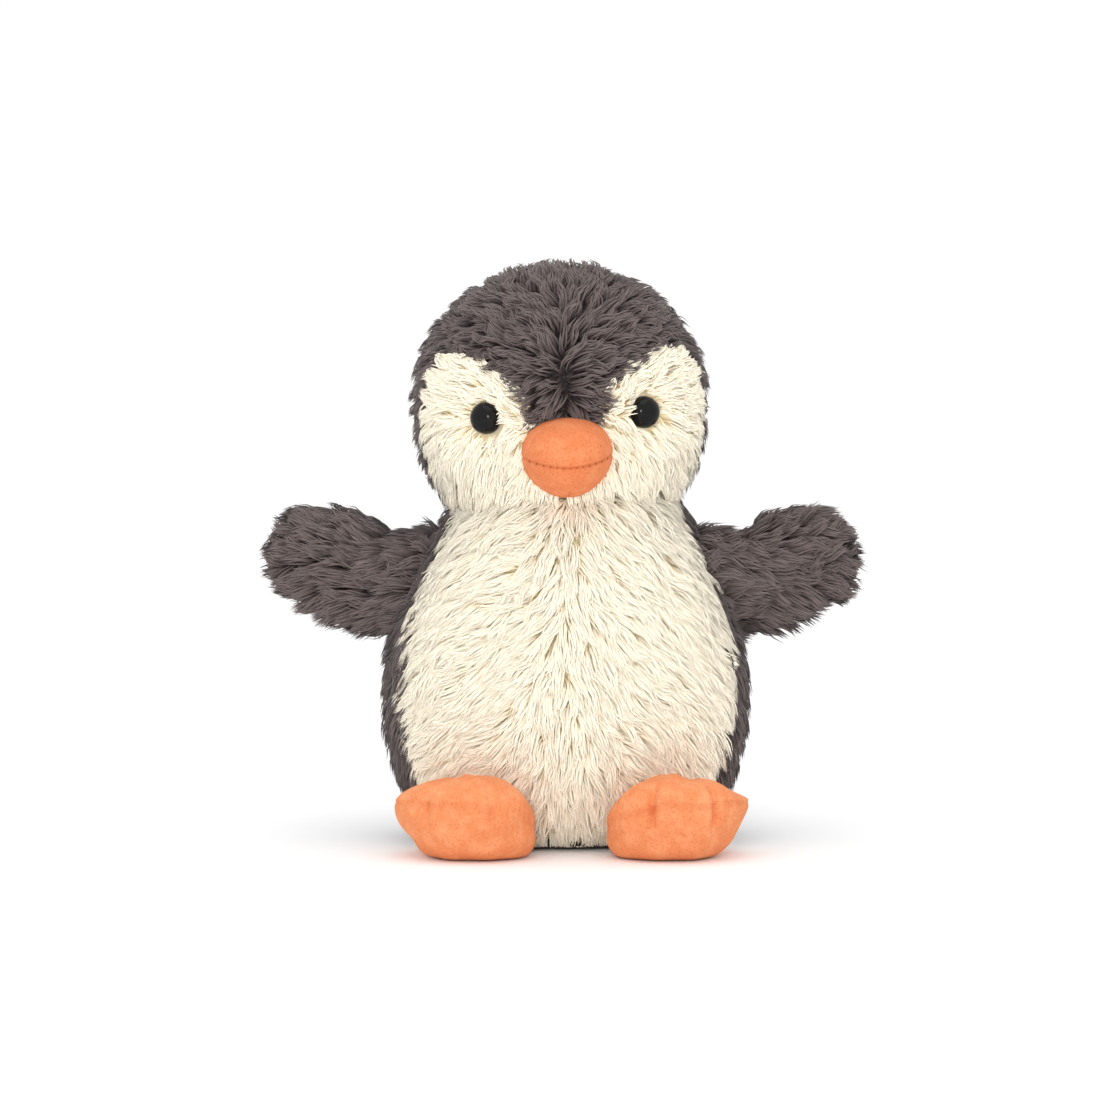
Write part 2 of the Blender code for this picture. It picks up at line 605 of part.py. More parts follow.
# ---- feet ------------------------------------------------------------------
def foot_grid(turn, reach, inset, upper, lift=0.0):
    """Points of a foot: turn runs from outward (0) over the toes, reach from centre to edge.

    The seam's height grows from heel to toe and towards the outer end. The top bulges above
    it and the sole below it, round at the inner end and pointed at the outer one.
    """
    turn, reach = np.broadcast_arrays(turn, reach)
    notches = sum(np.exp(-(((turn - a) / math.radians(9)) ** 2)) for a in TOE_NOTCH_ANGLES)
    scale = 1 - TOE_NOTCH / FOOT_HALF_LENGTH * notches
    outward = (FOOT_HALF_WIDTH - inset) * scale * reach * np.cos(turn)
    forward = (FOOT_HALF_LENGTH - inset) * scale * reach * np.sin(turn)
    along = np.clip((forward + FOOT_HALF_LENGTH) / (2 * FOOT_HALF_LENGTH), 0, 1)
    side = outward / FOOT_HALF_WIDTH
    seam = FOOT_HEEL_Z + (FOOT_TOE_Z - FOOT_HEEL_Z) * along + 0.003 * side**2 + 0.002 * side
    pointed = np.clip(np.cos(turn), 0, 1)
    if upper:
        rounded = np.sqrt(1 - reach**2)
        grow = np.sin(np.pi / 2 * np.minimum(along / 0.52, 1))
        bulge = (FOOT_TOP - inset) * grow
    else:
        rounded = (1 - reach**2.6) ** 0.45
        bulge = -(FOOT_SOLE - inset)
    crown = rounded + (1 - reach**1.4 - rounded) * pointed * 0.7
    height = np.maximum(seam + bulge * crown + lift, inset)
    return np.stack([outward, forward, height], axis=-1)


def placed_foot(grid, side):
    """The foot's grid set under the belly, its toes turned outwards."""
    outward, forward, height = np.moveaxis(grid, -1, 0)
    x = FOOT_X[side] + outward * math.cos(FOOT_SPLAY) + forward * math.sin(FOOT_SPLAY)
    y = AXIS_Y + FOOT_Y + outward * math.sin(FOOT_SPLAY) - forward * math.cos(FOOT_SPLAY)
    return np.stack([side * x, y, height], axis=-1)


def build_foot(side, hand):
    """Top panel, sole and stuffing of a foot, and the thread that sews its heel to the body."""
    heel = placed_foot(np.array([0.0, -FOOT_HALF_LENGTH, FOOT_HEEL_Z]), side)
    foot = joint_empty(f"foot_{hand}_joint", Vector(heel))
    turn = np.linspace(0, 2 * np.pi, 24, endpoint=False)
    reach = np.sin(np.linspace(0, np.pi / 2, 5))[:, None]
    for part, upper, lift in (("top", True, HALF_GAP), ("sole", False, -HALF_GAP)):
        outer = placed_foot(foot_grid(turn, reach, 0.0, upper, lift), side)
        inner = placed_foot(foot_grid(turn, reach, FOOT_CLOTH, upper, lift), side)
        make_shell(f"foot_{part}_{hand}", outer, inner, "orange_plush", foot, wrap=True)
    inset = FOOT_CLOTH + 0.0008
    below = foot_grid(turn, reach, inset, False)
    above = foot_grid(turn, reach, inset, True)[:-1][::-1]
    filling = placed_foot(np.vstack([below, above]), side)
    make_solid(f"foot_stuffing_{hand}", filling, "polyester_stuffing", foot)
    profile = [(0, -HEEL_THREAD_HALF), (THREAD, -HEEL_THREAD_HALF), (THREAD, HEEL_THREAD_HALF),
               (0, HEEL_THREAD_HALF)]
    behind = placed_foot(np.array([0.0, -FOOT_HALF_LENGTH - HEEL_THREAD_BACK, FOOT_HEEL_Z]), side)
    across = (side * math.cos(FOOT_SPLAY), math.sin(FOOT_SPLAY), 0)
    thread = turned(profile, 6, frame_at(Vector(behind), across))
    make_solid(f"foot_thread_{hand}", thread, "thread")


for old in list(bpy.data.objects):
    bpy.data.objects.remove(old, do_unlink=True)
build_torso()
build_head()
for side, hand in ((1, "left"), (-1, "right")):
    build_wing(side, hand)
    build_foot(side, hand)
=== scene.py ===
"""Looks of a soft plush penguin: pile grown lock by lock over sewn, stuffed bodies.

Metres, +Z up, the penguin faces -Y and its own left is +X. Places and sizes come from the
frame's nodes. Angles round a body are measured from its front towards +X.
"""
from __future__ import annotations

import logging
import math
from collections.abc import Callable
from dataclasses import dataclass
from enum import Enum

import bmesh
import bpy
import numpy as np
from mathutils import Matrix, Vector


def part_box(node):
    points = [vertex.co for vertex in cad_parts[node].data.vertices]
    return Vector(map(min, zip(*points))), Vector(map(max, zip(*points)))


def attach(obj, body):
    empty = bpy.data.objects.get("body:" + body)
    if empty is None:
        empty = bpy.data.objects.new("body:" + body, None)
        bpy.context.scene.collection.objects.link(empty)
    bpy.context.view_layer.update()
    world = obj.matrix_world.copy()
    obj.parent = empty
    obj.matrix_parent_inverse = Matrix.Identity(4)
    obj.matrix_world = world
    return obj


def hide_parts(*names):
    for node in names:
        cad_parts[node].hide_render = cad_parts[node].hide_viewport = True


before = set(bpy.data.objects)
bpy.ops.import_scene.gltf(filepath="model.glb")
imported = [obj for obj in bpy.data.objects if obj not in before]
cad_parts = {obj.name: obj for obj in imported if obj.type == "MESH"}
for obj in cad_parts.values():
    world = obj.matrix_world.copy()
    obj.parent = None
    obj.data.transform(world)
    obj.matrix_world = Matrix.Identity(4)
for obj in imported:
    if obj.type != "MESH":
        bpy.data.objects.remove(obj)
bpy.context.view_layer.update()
LOG = logging.getLogger("penguin")
Array = np.ndarray
Flow = Callable[[Array], Array]
Lay = Callable[[Array], tuple[Array, Array]]
Bare = Callable[[Array], Array]
Colour = tuple[float, float, float]
FLOOR_CLEAR = 0.0010        # pile that meets the floor spreads over it at this height
LOCK_FLATNESS = 0.8         # a lock's thickness as a share of its width
OWN_TONE = 0.65             # share of a lock's tone that isn't its tuft's


class Side(Enum):
    """One of the two mirrored halves of the toy, named from the penguin's own side."""

    LEFT = 1
    RIGHT = -1

    @property
    def label(self) -> str:
        """The word used in names."""
        return self.name.lower()

    def mirror(self, points: Array) -> Array:
        """Points of a left-hand shape moved to this side."""
        return points * np.array([self.value, 1.0, 1.0])

    def pick(self, pair: tuple[float, float]) -> float:
        """This side's one of two values, given right side first."""
        return pair[self is Side.LEFT]


# ---------------------------------------------------------------- array and mesh helpers
def unit(vectors: Array) -> Array:
    """Vectors divided by their lengths."""
    return vectors / np.maximum(np.linalg.norm(vectors, axis=-1, keepdims=True), 1e-12)


def smooth(value: Array, low: float, high: float) -> Array:
    """A ramp from 0 at low to 1 at high with level ends, 3t^2 - 2t^3."""
    t = np.clip((value - low) / (high - low), 0, 1)
    return t * t * (3 - 2 * t)


def waves(points: Array, length: float, rng: np.random.Generator, count: int = 5) -> Array:
    """Soft random bumps in space: the mean of a few sine waves of about one wavelength.

    Args:
        points: Places, with their coordinates in the last axis.
        length: Wavelength in metres.
        rng: Seeded source of the waves' directions and phases.
        count: How many waves are added.

    Returns:
        Values of about -1 to 1, one for each place.
    """
    directions = unit(rng.normal(size=(count, 3))) * rng.uniform(0.7, 1.4, (count, 1))
    phases = rng.uniform(0, 2 * np.pi, count)
    return np.sin(points @ directions.T * (2 * np.pi / length) + phases).mean(-1) * 1.6


def turn_matrix(yaw: float, lean: float) -> Array:
    """The turn that leans about +Y and then yaws about +Z, as a 3 by 3 array."""
    c, s = math.cos(yaw), math.sin(yaw)
    upright = np.array([[c, -s, 0], [s, c, 0], [0, 0, 1]])
    c, s = math.cos(lean), math.sin(lean)
    return upright @ np.array([[c, 0, s], [0, 1, 0], [-s, 0, c]])


def grid_quads(rows: int, columns: int, wrap: bool, first: int = 0) -> Array:
    """Quads of a grid of numbered points, closed round its columns if wrap is true."""
    numbers = first + np.arange(rows * columns).reshape(rows, columns)
    if wrap:
        numbers = np.hstack([numbers, numbers[:, :1]])
    corners = (numbers[:-1, :-1], numbers[:-1, 1:], numbers[1:, 1:], numbers[1:, :-1])
    return np.stack([c.ravel() for c in corners], axis=1)


def make_mesh(name: str, points: Array, faces: Array, **values: Array) -> bpy.types.Object:
    """One object from arrays of points and of equal-sided faces.

    Args:
        name: The piece's name.
        points: Vertex places, n by 3.
        faces: Vertex numbers, one row for each face.
        values: Extra values, each n long, kept as point attributes of the same names.

    Returns:
        The new object, at the origin.
    """
    mesh = bpy.data.meshes.new(name)
    mesh.vertices.add(len(points))
    mesh.vertices.foreach_set("co", points.astype(np.float32).ravel())
    count, sides = faces.shape
    mesh.loops.add(count * sides)
    mesh.loops.foreach_set("vertex_index", faces.astype(np.int32).ravel())
    mesh.polygons.add(count)
    mesh.polygons.foreach_set("loop_start", np.arange(0, count * sides, sides, dtype=np.int32))
    for key, value in values.items():
        attribute = mesh.attributes.new(key, "FLOAT", "POINT")
        attribute.data.foreach_set("value", np.asarray(value, np.float32).ravel())
    mesh.update(calc_edges=True)
    mesh.shade_smooth()
    made = bpy.data.objects.new(name, mesh)
    bpy.context.scene.collection.objects.link(made)
    return made


def weld(piece: bpy.types.Object) -> None:
    """Join the points of a piece that meet at seams and poles, and turn its faces outwards."""
    shape = bmesh.new()
    shape.from_mesh(piece.data)
    bmesh.ops.remove_doubles(shape, verts=shape.verts[:], dist=1e-6)
    bmesh.ops.dissolve_degenerate(shape, edges=shape.edges[:], dist=1e-7)
    bmesh.ops.recalc_face_normals(shape, faces=shape.faces[:])
    if shape.calc_volume(signed=True) < 0:
        bmesh.ops.reverse_faces(shape, faces=shape.faces[:])
    shape.to_mesh(piece.data)
    shape.free()
    piece.data.shade_smooth()


def tube_of(name: str, grid: Array, finish: "Finish", **values: Array) -> bpy.types.Object:
    """A welded piece from a grid of points that closes round its columns, with its finish.

    Args:
        name: The piece's name.
        grid: Points, rows by columns by 3.
        finish: What the piece is made of.
        values: Extra values for each point, kept as point attributes of the same names.

    Returns:
        The piece.
    """
    piece = make_mesh(name, grid.reshape(-1, 3), grid_quads(*grid.shape[:2], wrap=True), **values)
    weld(piece)
    piece.data.materials.append(finish.material())
    return piece


def thread_ring(name: str, path: Array, radius: float = 0.0004) -> bpy.types.Object:
    """A loop of thread: a circle carried along a closed path."""
    ahead = unit(np.roll(path, -1, axis=0) - np.roll(path, 1, axis=0))
    across = unit(np.cross(ahead, unit(path - path.mean(axis=0))))
    upward = np.cross(across, ahead)
    turn = np.linspace(0, 2 * np.pi, 8, endpoint=False)[:, None]
    circle = across[:, None] * np.cos(turn) + upward[:, None] * np.sin(turn)
    grid = path[:, None] + radius * circle
    return tube_of(name, np.concatenate([grid, grid[:1]]), THREAD)


def settle(piece: bpy.types.Object, body: str, slot: str, *nodes: str) -> bpy.types.Object:
    """Let a piece ride on its body, hide the nodes that it stands for, and log it."""
    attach(piece, body)
    if nodes:
        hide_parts(*nodes)
    LOG.info("%s rides on %s: %d faces", piece.name, body, len(piece.data.polygons))
    return piece


# ---------------------------------------------------------------- finishes
def new_group(name: str, inputs: dict, outputs: dict) -> bpy.types.NodeTree:
    """A shader group with named sockets.

    Args:
        name: The group's name.
        inputs: Socket name to its default: a number or a colour.
        outputs: Socket name to True for a colour and False for a number.

    Returns:
        The group, with its input and output nodes named "in" and "out".
    """
    group = bpy.data.node_groups.new(name, "ShaderNodeTree")
    for key, value in inputs.items():
        kind = "NodeSocketFloat" if isinstance(value, float) else "NodeSocketColor"
        socket = group.interface.new_socket(key, in_out="INPUT", socket_type=kind)
        socket.default_value = value if isinstance(value, float) else (*value, 1.0)
    for key, is_colour in outputs.items():
        kind = "NodeSocketColor" if is_colour else "NodeSocketFloat"
        group.interface.new_socket(key, in_out="OUTPUT", socket_type=kind)
    group.nodes.new("NodeGroupInput").name = "in"
    group.nodes.new("NodeGroupOutput").name = "out"
    return group


class Wiring:
    """Short words for adding and joining shader nodes in one tree."""

    def __init__(self, tree: bpy.types.NodeTree) -> None:
        """Work in the given tree."""
        self.tree = tree

    def node(self, kind: str, **values: object) -> bpy.types.Node:
        """A new node of a kind, with its own properties set."""
        made = self.tree.nodes.new(f"ShaderNode{kind}")
        for key, value in values.items():
            setattr(made, key, value)
        return made

    def feed(self, socket: bpy.types.NodeSocket, value: object) -> None:
        """Link an output into a socket, or set a plain value on it."""
        if isinstance(value, bpy.types.NodeSocket):
            self.tree.links.new(value, socket)
        elif isinstance(value, tuple) and len(value) == 3 and socket.type == "RGBA":
            socket.default_value = (*value, 1.0)
        else:
            socket.default_value = value

    def math(self, operation: str, first: object, second: object = 0.0) -> bpy.types.NodeSocket:
        """The result of one arithmetic step."""
        step = self.node("Math", operation=operation)
        self.feed(step.inputs[0], first)
        self.feed(step.inputs[1], second)
        return step.outputs[0]

    def ramp(self, value: object, low: float, high: float, start: float = 0.0,
             end: float = 1.0) -> bpy.types.NodeSocket:
        """A value's smooth passage from low to high, put out as start to end."""
        step = self.node("MapRange", interpolation_type="SMOOTHSTEP")
        for socket, number in zip(step.inputs, (value, low, high, start, end)):
            self.feed(socket, number)
        return step.outputs[0]

    def mix(self, share: object, first: object, second: object,
            blend: str = "MIX") -> bpy.types.NodeSocket:
        """Two colours mixed by a share."""
        step = self.node("Mix", data_type="RGBA", blend_type=blend)
        self.feed(step.inputs[0], share)
        self.feed(step.inputs[6], first)
        self.feed(step.inputs[7], second)
        return step.outputs[2]

    def noise(self, vector: object, scale: object, detail: float) -> bpy.types.NodeSocket:
        """Cloudy noise at a scale, in the vector's units."""
        step = self.node("TexNoise")
        self.feed(step.inputs["Vector"], vector)
        self.feed(step.inputs["Scale"], scale)
        step.inputs["Detail"].default_value = detail
        return step.outputs["Fac"]

    def bump(self, shader: bpy.types.Node, height: bpy.types.NodeSocket, strength: float,
             distance: float) -> None:
        """Relief on a shader's normal."""
        step = self.node("Bump")
        step.inputs["Strength"].default_value = strength
        step.inputs["Distance"].default_value = distance
        self.feed(step.inputs["Height"], height)
        self.feed(shader.inputs["Normal"], step.outputs[0])

    def group(self, group: bpy.types.NodeTree, **values: object) -> bpy.types.Node:
        """A shared effect placed here, fed by socket name with _ for spaces."""
        made = self.tree.nodes.new("ShaderNodeGroup")
        made.node_tree = group
        for key, value in values.items():
            self.feed(made.inputs[key.replace("_", " ")], value)
        return made


def strand_group() -> bpy.types.NodeTree:
    """Colour and relief of one lock of pile: painted shade at the root, painted light at the tip, fine
    fibres along it.
    """
    found = bpy.data.node_groups.get("pile_strand")
    if found:
        return found
    group = new_group(
        "pile_strand",
        {"Root": (0.1, 0.1, 0.1), "Body": (0.5, 0.5, 0.5), "Tip": (0.8, 0.8, 0.8),
         "Around": 0.0, "Along": 0.0, "Tone": 0.5, "Spread": 0.2, "Contrast": 0.24},
        {"Colour": True, "Relief": False},
    )
    w = Wiring(group)
    given, out = group.nodes["in"].outputs, group.nodes["out"].inputs
    # Painted shade darkens the lock towards its root, and painted light brightens it towards its tip.
    lower = w.mix(w.ramp(given["Along"], 0.0, 0.5), given["Root"], given["Body"])
    whole = w.mix(w.ramp(given["Along"], 0.3, 1.0), lower, given["Tip"])
    place = w.node("CombineXYZ")
    w.feed(place.inputs[0], w.math("MULTIPLY", given["Around"], 9.0))
    w.feed(place.inputs[1], w.math("MULTIPLY", given["Along"], 1.6))
    w.feed(place.inputs[2], w.math("MULTIPLY", given["Tone"], 37.0))
    fibre = w.noise(place.outputs[0], 1.6, 3.0)
    shift = w.math("MULTIPLY_ADD", w.math("SUBTRACT", given["Tone"], 0.5), given["Spread"])
    streak = w.math("MULTIPLY", w.math("SUBTRACT", fibre, 0.5), given["Contrast"])
    level = w.math("ADD", w.math("ADD", shift, 1.0), streak)
    bright = w.node("CombineXYZ")
    for k in range(3):
        w.feed(bright.inputs[k], level)
    w.feed(out["Colour"], w.mix(1.0, whole, bright.outputs[0], "MULTIPLY"))
    w.feed(out["Relief"], fibre)
    return group


@dataclass(frozen=True)
class Finish:
    """What a piece is made of, kept as one material that is made once."""

    name: str

    def material(self) -> bpy.types.Material:
        """The finish as a material, made once."""
        found = bpy.data.materials.get(self.name)
        if found:
            return found
        made = bpy.data.materials.new(self.name)
        made.use_nodes = True
        self.wire(Wiring(made.node_tree), made.node_tree.nodes["Principled BSDF"])
        return made

    def wire(self, w: Wiring, shader: bpy.types.Node) -> None:
        """Set the shader's sockets; each kind of finish has its own."""
        raise NotImplementedError


@dataclass(frozen=True)
class PileFinish(Finish):
    """Long soft pile: each lock has painted shade at its root and painted light at its tip."""

    # root carries painted shade and tip carries painted light; body is the lock's middle colour
    root: Colour
    body: Colour
    tip: Colour
    spread: float = 0.35
    contrast: float = 0.24
    roughness: float = 0.78
    sheen: float = 0.25
    subsurface: float = 0.0

    def wire(self, w: Wiring, shader: bpy.types.Node) -> None:
        """Colour and relief from the lock group, with a soft sheen."""
        uv = w.node("UVMap", uv_map="lock")
        split = w.node("SeparateXYZ")
        w.feed(split.inputs[0], uv.outputs[0])
        tone = w.node("Attribute", attribute_name="tone")
        strand = w.group(strand_group(), Root=self.root, Body=self.body, Tip=self.tip,
                         Around=split.outputs[0], Along=split.outputs[1],
                         Tone=tone.outputs["Fac"], Spread=self.spread, Contrast=self.contrast)
        w.feed(shader.inputs["Base Color"], strand.outputs["Colour"])
        w.bump(shader, strand.outputs["Relief"], 0.6, 0.0004)
        shader.inputs["Roughness"].default_value = self.roughness
        shader.inputs["Specular IOR Level"].default_value = 0.18
        shader.inputs["Sheen Weight"].default_value = self.sheen
        shader.inputs["Sheen Roughness"].default_value = 0.4
        shader.inputs["Sheen Tint"].default_value = (1.0, 1.0, 1.0, 1.0)
        shader.inputs["Subsurface Weight"].default_value = self.subsurface
        shader.inputs["Subsurface Radius"].default_value = (1.0, 0.85, 0.6)
        shader.inputs["Subsurface Scale"].default_value = 0.004


def nap_group() -> bpy.types.NodeTree:
    """Short plush: fine grain, soft mottling where the nap lies differently, painted shade along seams
    and creases.
    """
    found = bpy.data.node_groups.get("short_nap")
    if found:
        return found
    group = new_group(
        "short_nap",
        {"Base": (0.8, 0.4, 0.2), "Deep": (0.6, 0.2, 0.1), "Light": (0.9, 0.6, 0.4),
         "Seam": 0.0, "Grain Scale": 1400.0},
        {"Colour": True, "Relief": False},
    )
    w = Wiring(group)
    given, out = group.nodes["in"].outputs, group.nodes["out"].inputs
    place = w.node("TexCoord").outputs["Object"]
    grain = w.noise(place, given["Grain Scale"], 3.0)
    mottle = w.noise(place, 160.0, 3.0)
    base = w.mix(w.ramp(mottle, 0.42, 0.66, 0.0, 0.55), given["Base"], given["Light"])
    base = w.mix(w.ramp(grain, 0.5, 0.3, 0.0, 0.5), base, given["Deep"])
    base = w.mix(w.ramp(grain, 0.55, 0.75, 0.0, 0.45), base, given["Light"])
    # Painted shade: the seam mask darkens the colour towards Deep along seam grooves and creases.
    w.feed(out["Colour"], w.mix(given["Seam"], base, given["Deep"]))
    w.feed(out["Relief"], grain)
    return group


@dataclass(frozen=True)
class NapFinish(Finish):
    """Very short plush such as the beak and the feet are cut from."""

    base: Colour
    deep: Colour
    light: Colour
    grain: float = 1400.0
    roughness: float = 0.85
    sheen: float = 0.12

    def wire(self, w: Wiring, shader: bpy.types.Node) -> None:
        """Colour and relief from the nap group, with painted shade where the piece's seam mask marks
        seams and creases.
        """
        seam = w.node("Attribute", attribute_name="seam")
        nap = w.group(nap_group(), Base=self.base, Deep=self.deep, Light=self.light,
                      Seam=seam.outputs["Fac"], Grain_Scale=self.grain)
        w.feed(shader.inputs["Base Color"], nap.outputs["Colour"])
        w.bump(shader, nap.outputs["Relief"], 0.5, 0.0005)
        shader.inputs["Roughness"].default_value = self.roughness
        shader.inputs["Specular IOR Level"].default_value = 0.2
        shader.inputs["Sheen Weight"].default_value = self.sheen
        shader.inputs["Sheen Roughness"].default_value = 0.5
        shader.inputs["Sheen Tint"].default_value = (*self.light, 1.0)


@dataclass(frozen=True)
class SimpleFinish(Finish):
    """Plain stock such as moulded plastic, thread, lining or filling, with a faint cloud in it."""

    first: Colour
    second: Colour
    scale: float = 300.0
    roughness: float = 0.6
    specular: float = 0.5
    relief: float = 0.0

    def wire(self, w: Wiring, shader: bpy.types.Node) -> None:
        """Two close colours in soft clouds, with relief where the finish asks for it."""
        cloud = w.noise(w.node("TexCoord").outputs["Object"], self.scale, 4.0)
        share = w.ramp(cloud, 0.35, 0.65)
        w.feed(shader.inputs["Base Color"], w.mix(share, self.first, self.second))
        shader.inputs["Roughness"].default_value = self.roughness
        shader.inputs["Specular IOR Level"].default_value = self.specular
        if self.relief:
            w.bump(shader, cloud, 0.6, self.relief)


# Pile colours go from painted shade at the root to painted light at the tip; the ivory root's strong
# warm yellow paints the warm shade deep between the locks.
GREY_PILE = PileFinish("charcoal_locks", (0.013, 0.009, 0.0085), (0.048, 0.0355, 0.0335),
                       (0.130, 0.104, 0.099), spread=0.6, contrast=0.8, sheen=0.12)
IVORY_PILE = PileFinish("ivory_locks", (0.975, 0.755, 0.40), (0.965, 0.855, 0.64), (0.975, 0.90, 0.73),
                        spread=0.05, contrast=0.12, sheen=0.05, subsurface=0.26)
GREY_CLOTH = SimpleFinish("grey_backing", (0.035, 0.028, 0.027), (0.06, 0.048, 0.046), 500.0, 0.95)
# The ivory backing is real cloth, but its colour is darker and warmer than the locks to paint the warm
# shade seen between them.
IVORY_CLOTH = SimpleFinish("ivory_backing", (0.88, 0.74, 0.52), (0.92, 0.80, 0.60), 500.0, 0.95)
FOOT_NAP = NapFinish("foot_plush", (0.76, 0.260, 0.105), (0.58, 0.125, 0.036), (0.86, 0.37, 0.18))
BEAK_NAP = NapFinish("beak_plush", (0.71, 0.215, 0.082), (0.50, 0.095, 0.026), (0.80, 0.29, 0.125))
EYE_GLOSS = SimpleFinish("eye_gloss", (0.005, 0.0045, 0.0045), (0.009, 0.008, 0.008), 90.0, 0.06,
                         specular=0.17)
FILLING = SimpleFinish("filling", (0.78, 0.78, 0.77), (0.90, 0.90, 0.88), 260.0, 1.0, relief=0.001)
THREAD = SimpleFinish("sewing_thread", (0.16, 0.12, 0.11), (0.24, 0.20, 0.18), 2500.0, 0.8,
                      relief=0.0001)
BEAK_THREAD = SimpleFinish("beak_thread", (0.28, 0.085, 0.03), (0.40, 0.13, 0.05), 2500.0, 0.85)


# ---------------------------------------------------------------- surfaces
@dataclass
class Patch:
    """Part of a curved surface as a grid of points with outward normals."""

    points: Array
    normals: Array

    @classmethod
    def of(cls, points: Array, centre: Array) -> "Patch":
        """A patch with normals from its grid's two directions, pointing away from a centre."""
        across = np.gradient(points, axis=1)
        upward = np.gradient(points, axis=0)
        normals = unit(np.cross(across, upward))
        middle = points.shape[0] // 2
        outward = np.sum(normals[middle] * (points[middle] - centre), axis=-1).mean()
        return cls(points, normals * (1.0 if outward > 0 else -1.0))

    def scatter(self, cell: float, rng: np.random.Generator) -> tuple[Array, Array]:
        """Even random places: random ones by area, at most one kept in each cubic cell.

        Args:
            cell: Edge of the cells in metres.
            rng: Seeded source of the places.

        Returns:
            Places and outward normals, n by 3 each.
        """
        quads = grid_quads(*self.points.shape[:2], wrap=False)
        flat, normals = self.points.reshape(-1, 3), self.normals.reshape(-1, 3)
        thirds = np.vstack([quads[:, [0, 1, 2]], quads[:, [0, 2, 3]]])
        a, b, c = (flat[thirds[:, k]] for k in range(3))
        area = np.linalg.norm(np.cross(b - a, c - a), axis=1) / 2
        count = int(area.sum() / cell**2 * 4)
        chosen = np.searchsorted(np.cumsum(area) / area.sum(), rng.uniform(0, 1, count))
        chosen = np.minimum(chosen, len(thirds) - 1)
        u, v = rng.uniform(0, 1, (2, count))
        over = u + v > 1
        u, v = np.where(over, 1 - u, u), np.where(over, 1 - v, v)
        share = np.stack([1 - u - v, u, v], axis=1)[..., None]
        places = (flat[thirds[chosen]] * share).sum(1)
        facing = unit((normals[thirds[chosen]] * share).sum(1))
        _, first = np.unique(np.floor(places / cell).astype(np.int64), axis=0, return_index=True)
        first.sort()
        return places[first], facing[first]

    def cloth(self, name: str, thickness: float = 0.0008) -> bpy.types.Object:
        """The patch as a thin closed sheet of backing cloth: it, its inside and its edges."""
        rows, columns = self.points.shape[:2]
        count = rows * columns
        inside = self.points - self.normals * thickness
        points = np.vstack([self.points.reshape(-1, 3), inside.reshape(-1, 3)])
        outer = grid_quads(rows, columns, wrap=False)
        inner = grid_quads(rows, columns, wrap=False, first=count)[:, ::-1]
        n = np.arange(count).reshape(rows, columns)
        rim = np.concatenate([n[0], n[1:, -1], n[-1, -2::-1], n[-2:0:-1, 0]])
        after = np.roll(rim, -1)
        walls = np.stack([after, rim, rim + count, after + count], axis=1)
        piece = make_mesh(name, points, np.vstack([outer, inner, walls]))
        weld(piece)
        return piece


@dataclass(frozen=True)
class Fabric:
    """A pile fabric: its slot, its backing cloth and its locks."""

    slot: str
    backing: Finish
    locks: Finish


GREY = Fabric("grey_pile", GREY_CLOTH, GREY_PILE)
IVORY = Fabric("ivory_pile", IVORY_CLOTH, IVORY_PILE)


@dataclass(frozen=True)
class PileCut:
    """How a pile fabric's locks are cut and how they lie."""

    length: float = 0.0105      # how far a lock reaches along the cloth
    stand: float = 0.0056       # how high its tip stands off the cloth
    width: float = 0.00044      # half-width at its thickest
    cell: float = 0.00105       # spacing of the locks
    tuft: float = 0.0036        # spacing of the tufts that locks gather into
    gather: float = 0.50        # how far a lock's tip is drawn to its tuft
    stray: float = 0.26         # how far a tuft's direction wanders, radians
    droop: float = 0.0012       # how far the tip sinks by its weight
    uneven: float = 1.0         # how much the tufts differ in length and height
    roundness: float = 0.75     # share of a lock's own roundness in how it's shaded
    steps: tuple[float, ...] = (0.0, 0.36, 0.72)
    taper: tuple[float, ...] = (0.8, 1.0, 0.62)

    def bent(self, places: Array, normals: Array, heading: Array, reach: Array, rise: Array,
             curl: Array, t: Array) -> Array:
        """Centre lines: up off the cloth as 1-(1-t)^1.8, along it as t^1.35, down as t^2.

        Args:
            places: Root of each lock.
            normals: Outward normal at each root.
            heading: Direction along the cloth that each lock leans to.
            reach: Share of the full length, one for each lock.
            rise: Share of the full height, one for each lock.
            curl: Sideways bow of each lock in metres.
            t: Places along the lock from 0 to 1.

        Returns:
            Points, locks by steps by 3.
        """
        t = t[None, :, None]
        sideways = np.cross(normals, heading)
        up = normals[:, None] * (self.stand * rise)[:, None, None] * (1 - (1 - t) ** 1.8)
        along = heading[:, None] * (self.length * reach)[:, None, None] * t**1.35
        bow = sideways[:, None] * curl[:, None, None] * np.sin(np.pi * t)
        fall = np.array([0, 0, -self.droop]) * t**2
        return places[:, None] + up + along + bow + fall


def turned_in_plane(heading: Array, normals: Array, angle: Array) -> Array:
    """Directions turned by angles about the normals."""
    across = np.cross(normals, heading)
    return heading * np.cos(angle)[:, None] + across * np.sin(angle)[:, None]


def laid_on(direction: Array, normals: Array) -> Array:
    """The part of each direction that lies along the cloth, as unit vectors."""
    return unit(direction - normals * np.sum(direction * normals, axis=-1, keepdims=True))


def nearest(places: Array, centres: Array) -> Array:
    """The number of the closest centre to each place, worked out in blocks."""
    found = []
    for block in np.array_split(places, max(1, len(places) // 1500)):
        gap = (block**2).sum(1)[:, None] - 2 * block @ centres.T + (centres**2).sum(1)
        found.append(gap.argmin(1))
    return np.concatenate(found)


@dataclass(frozen=True)
class Pile:
    """How one panel's pile is cut, brushed and laid, and where it is left out."""

    cut: PileCut
    flow: Flow                  # direction that the pile is brushed in, at each place
    lay: Lay                    # shares of the length and of the standing height
    seed: int
    bare: Bare | None = None    # true at places that carry no pile


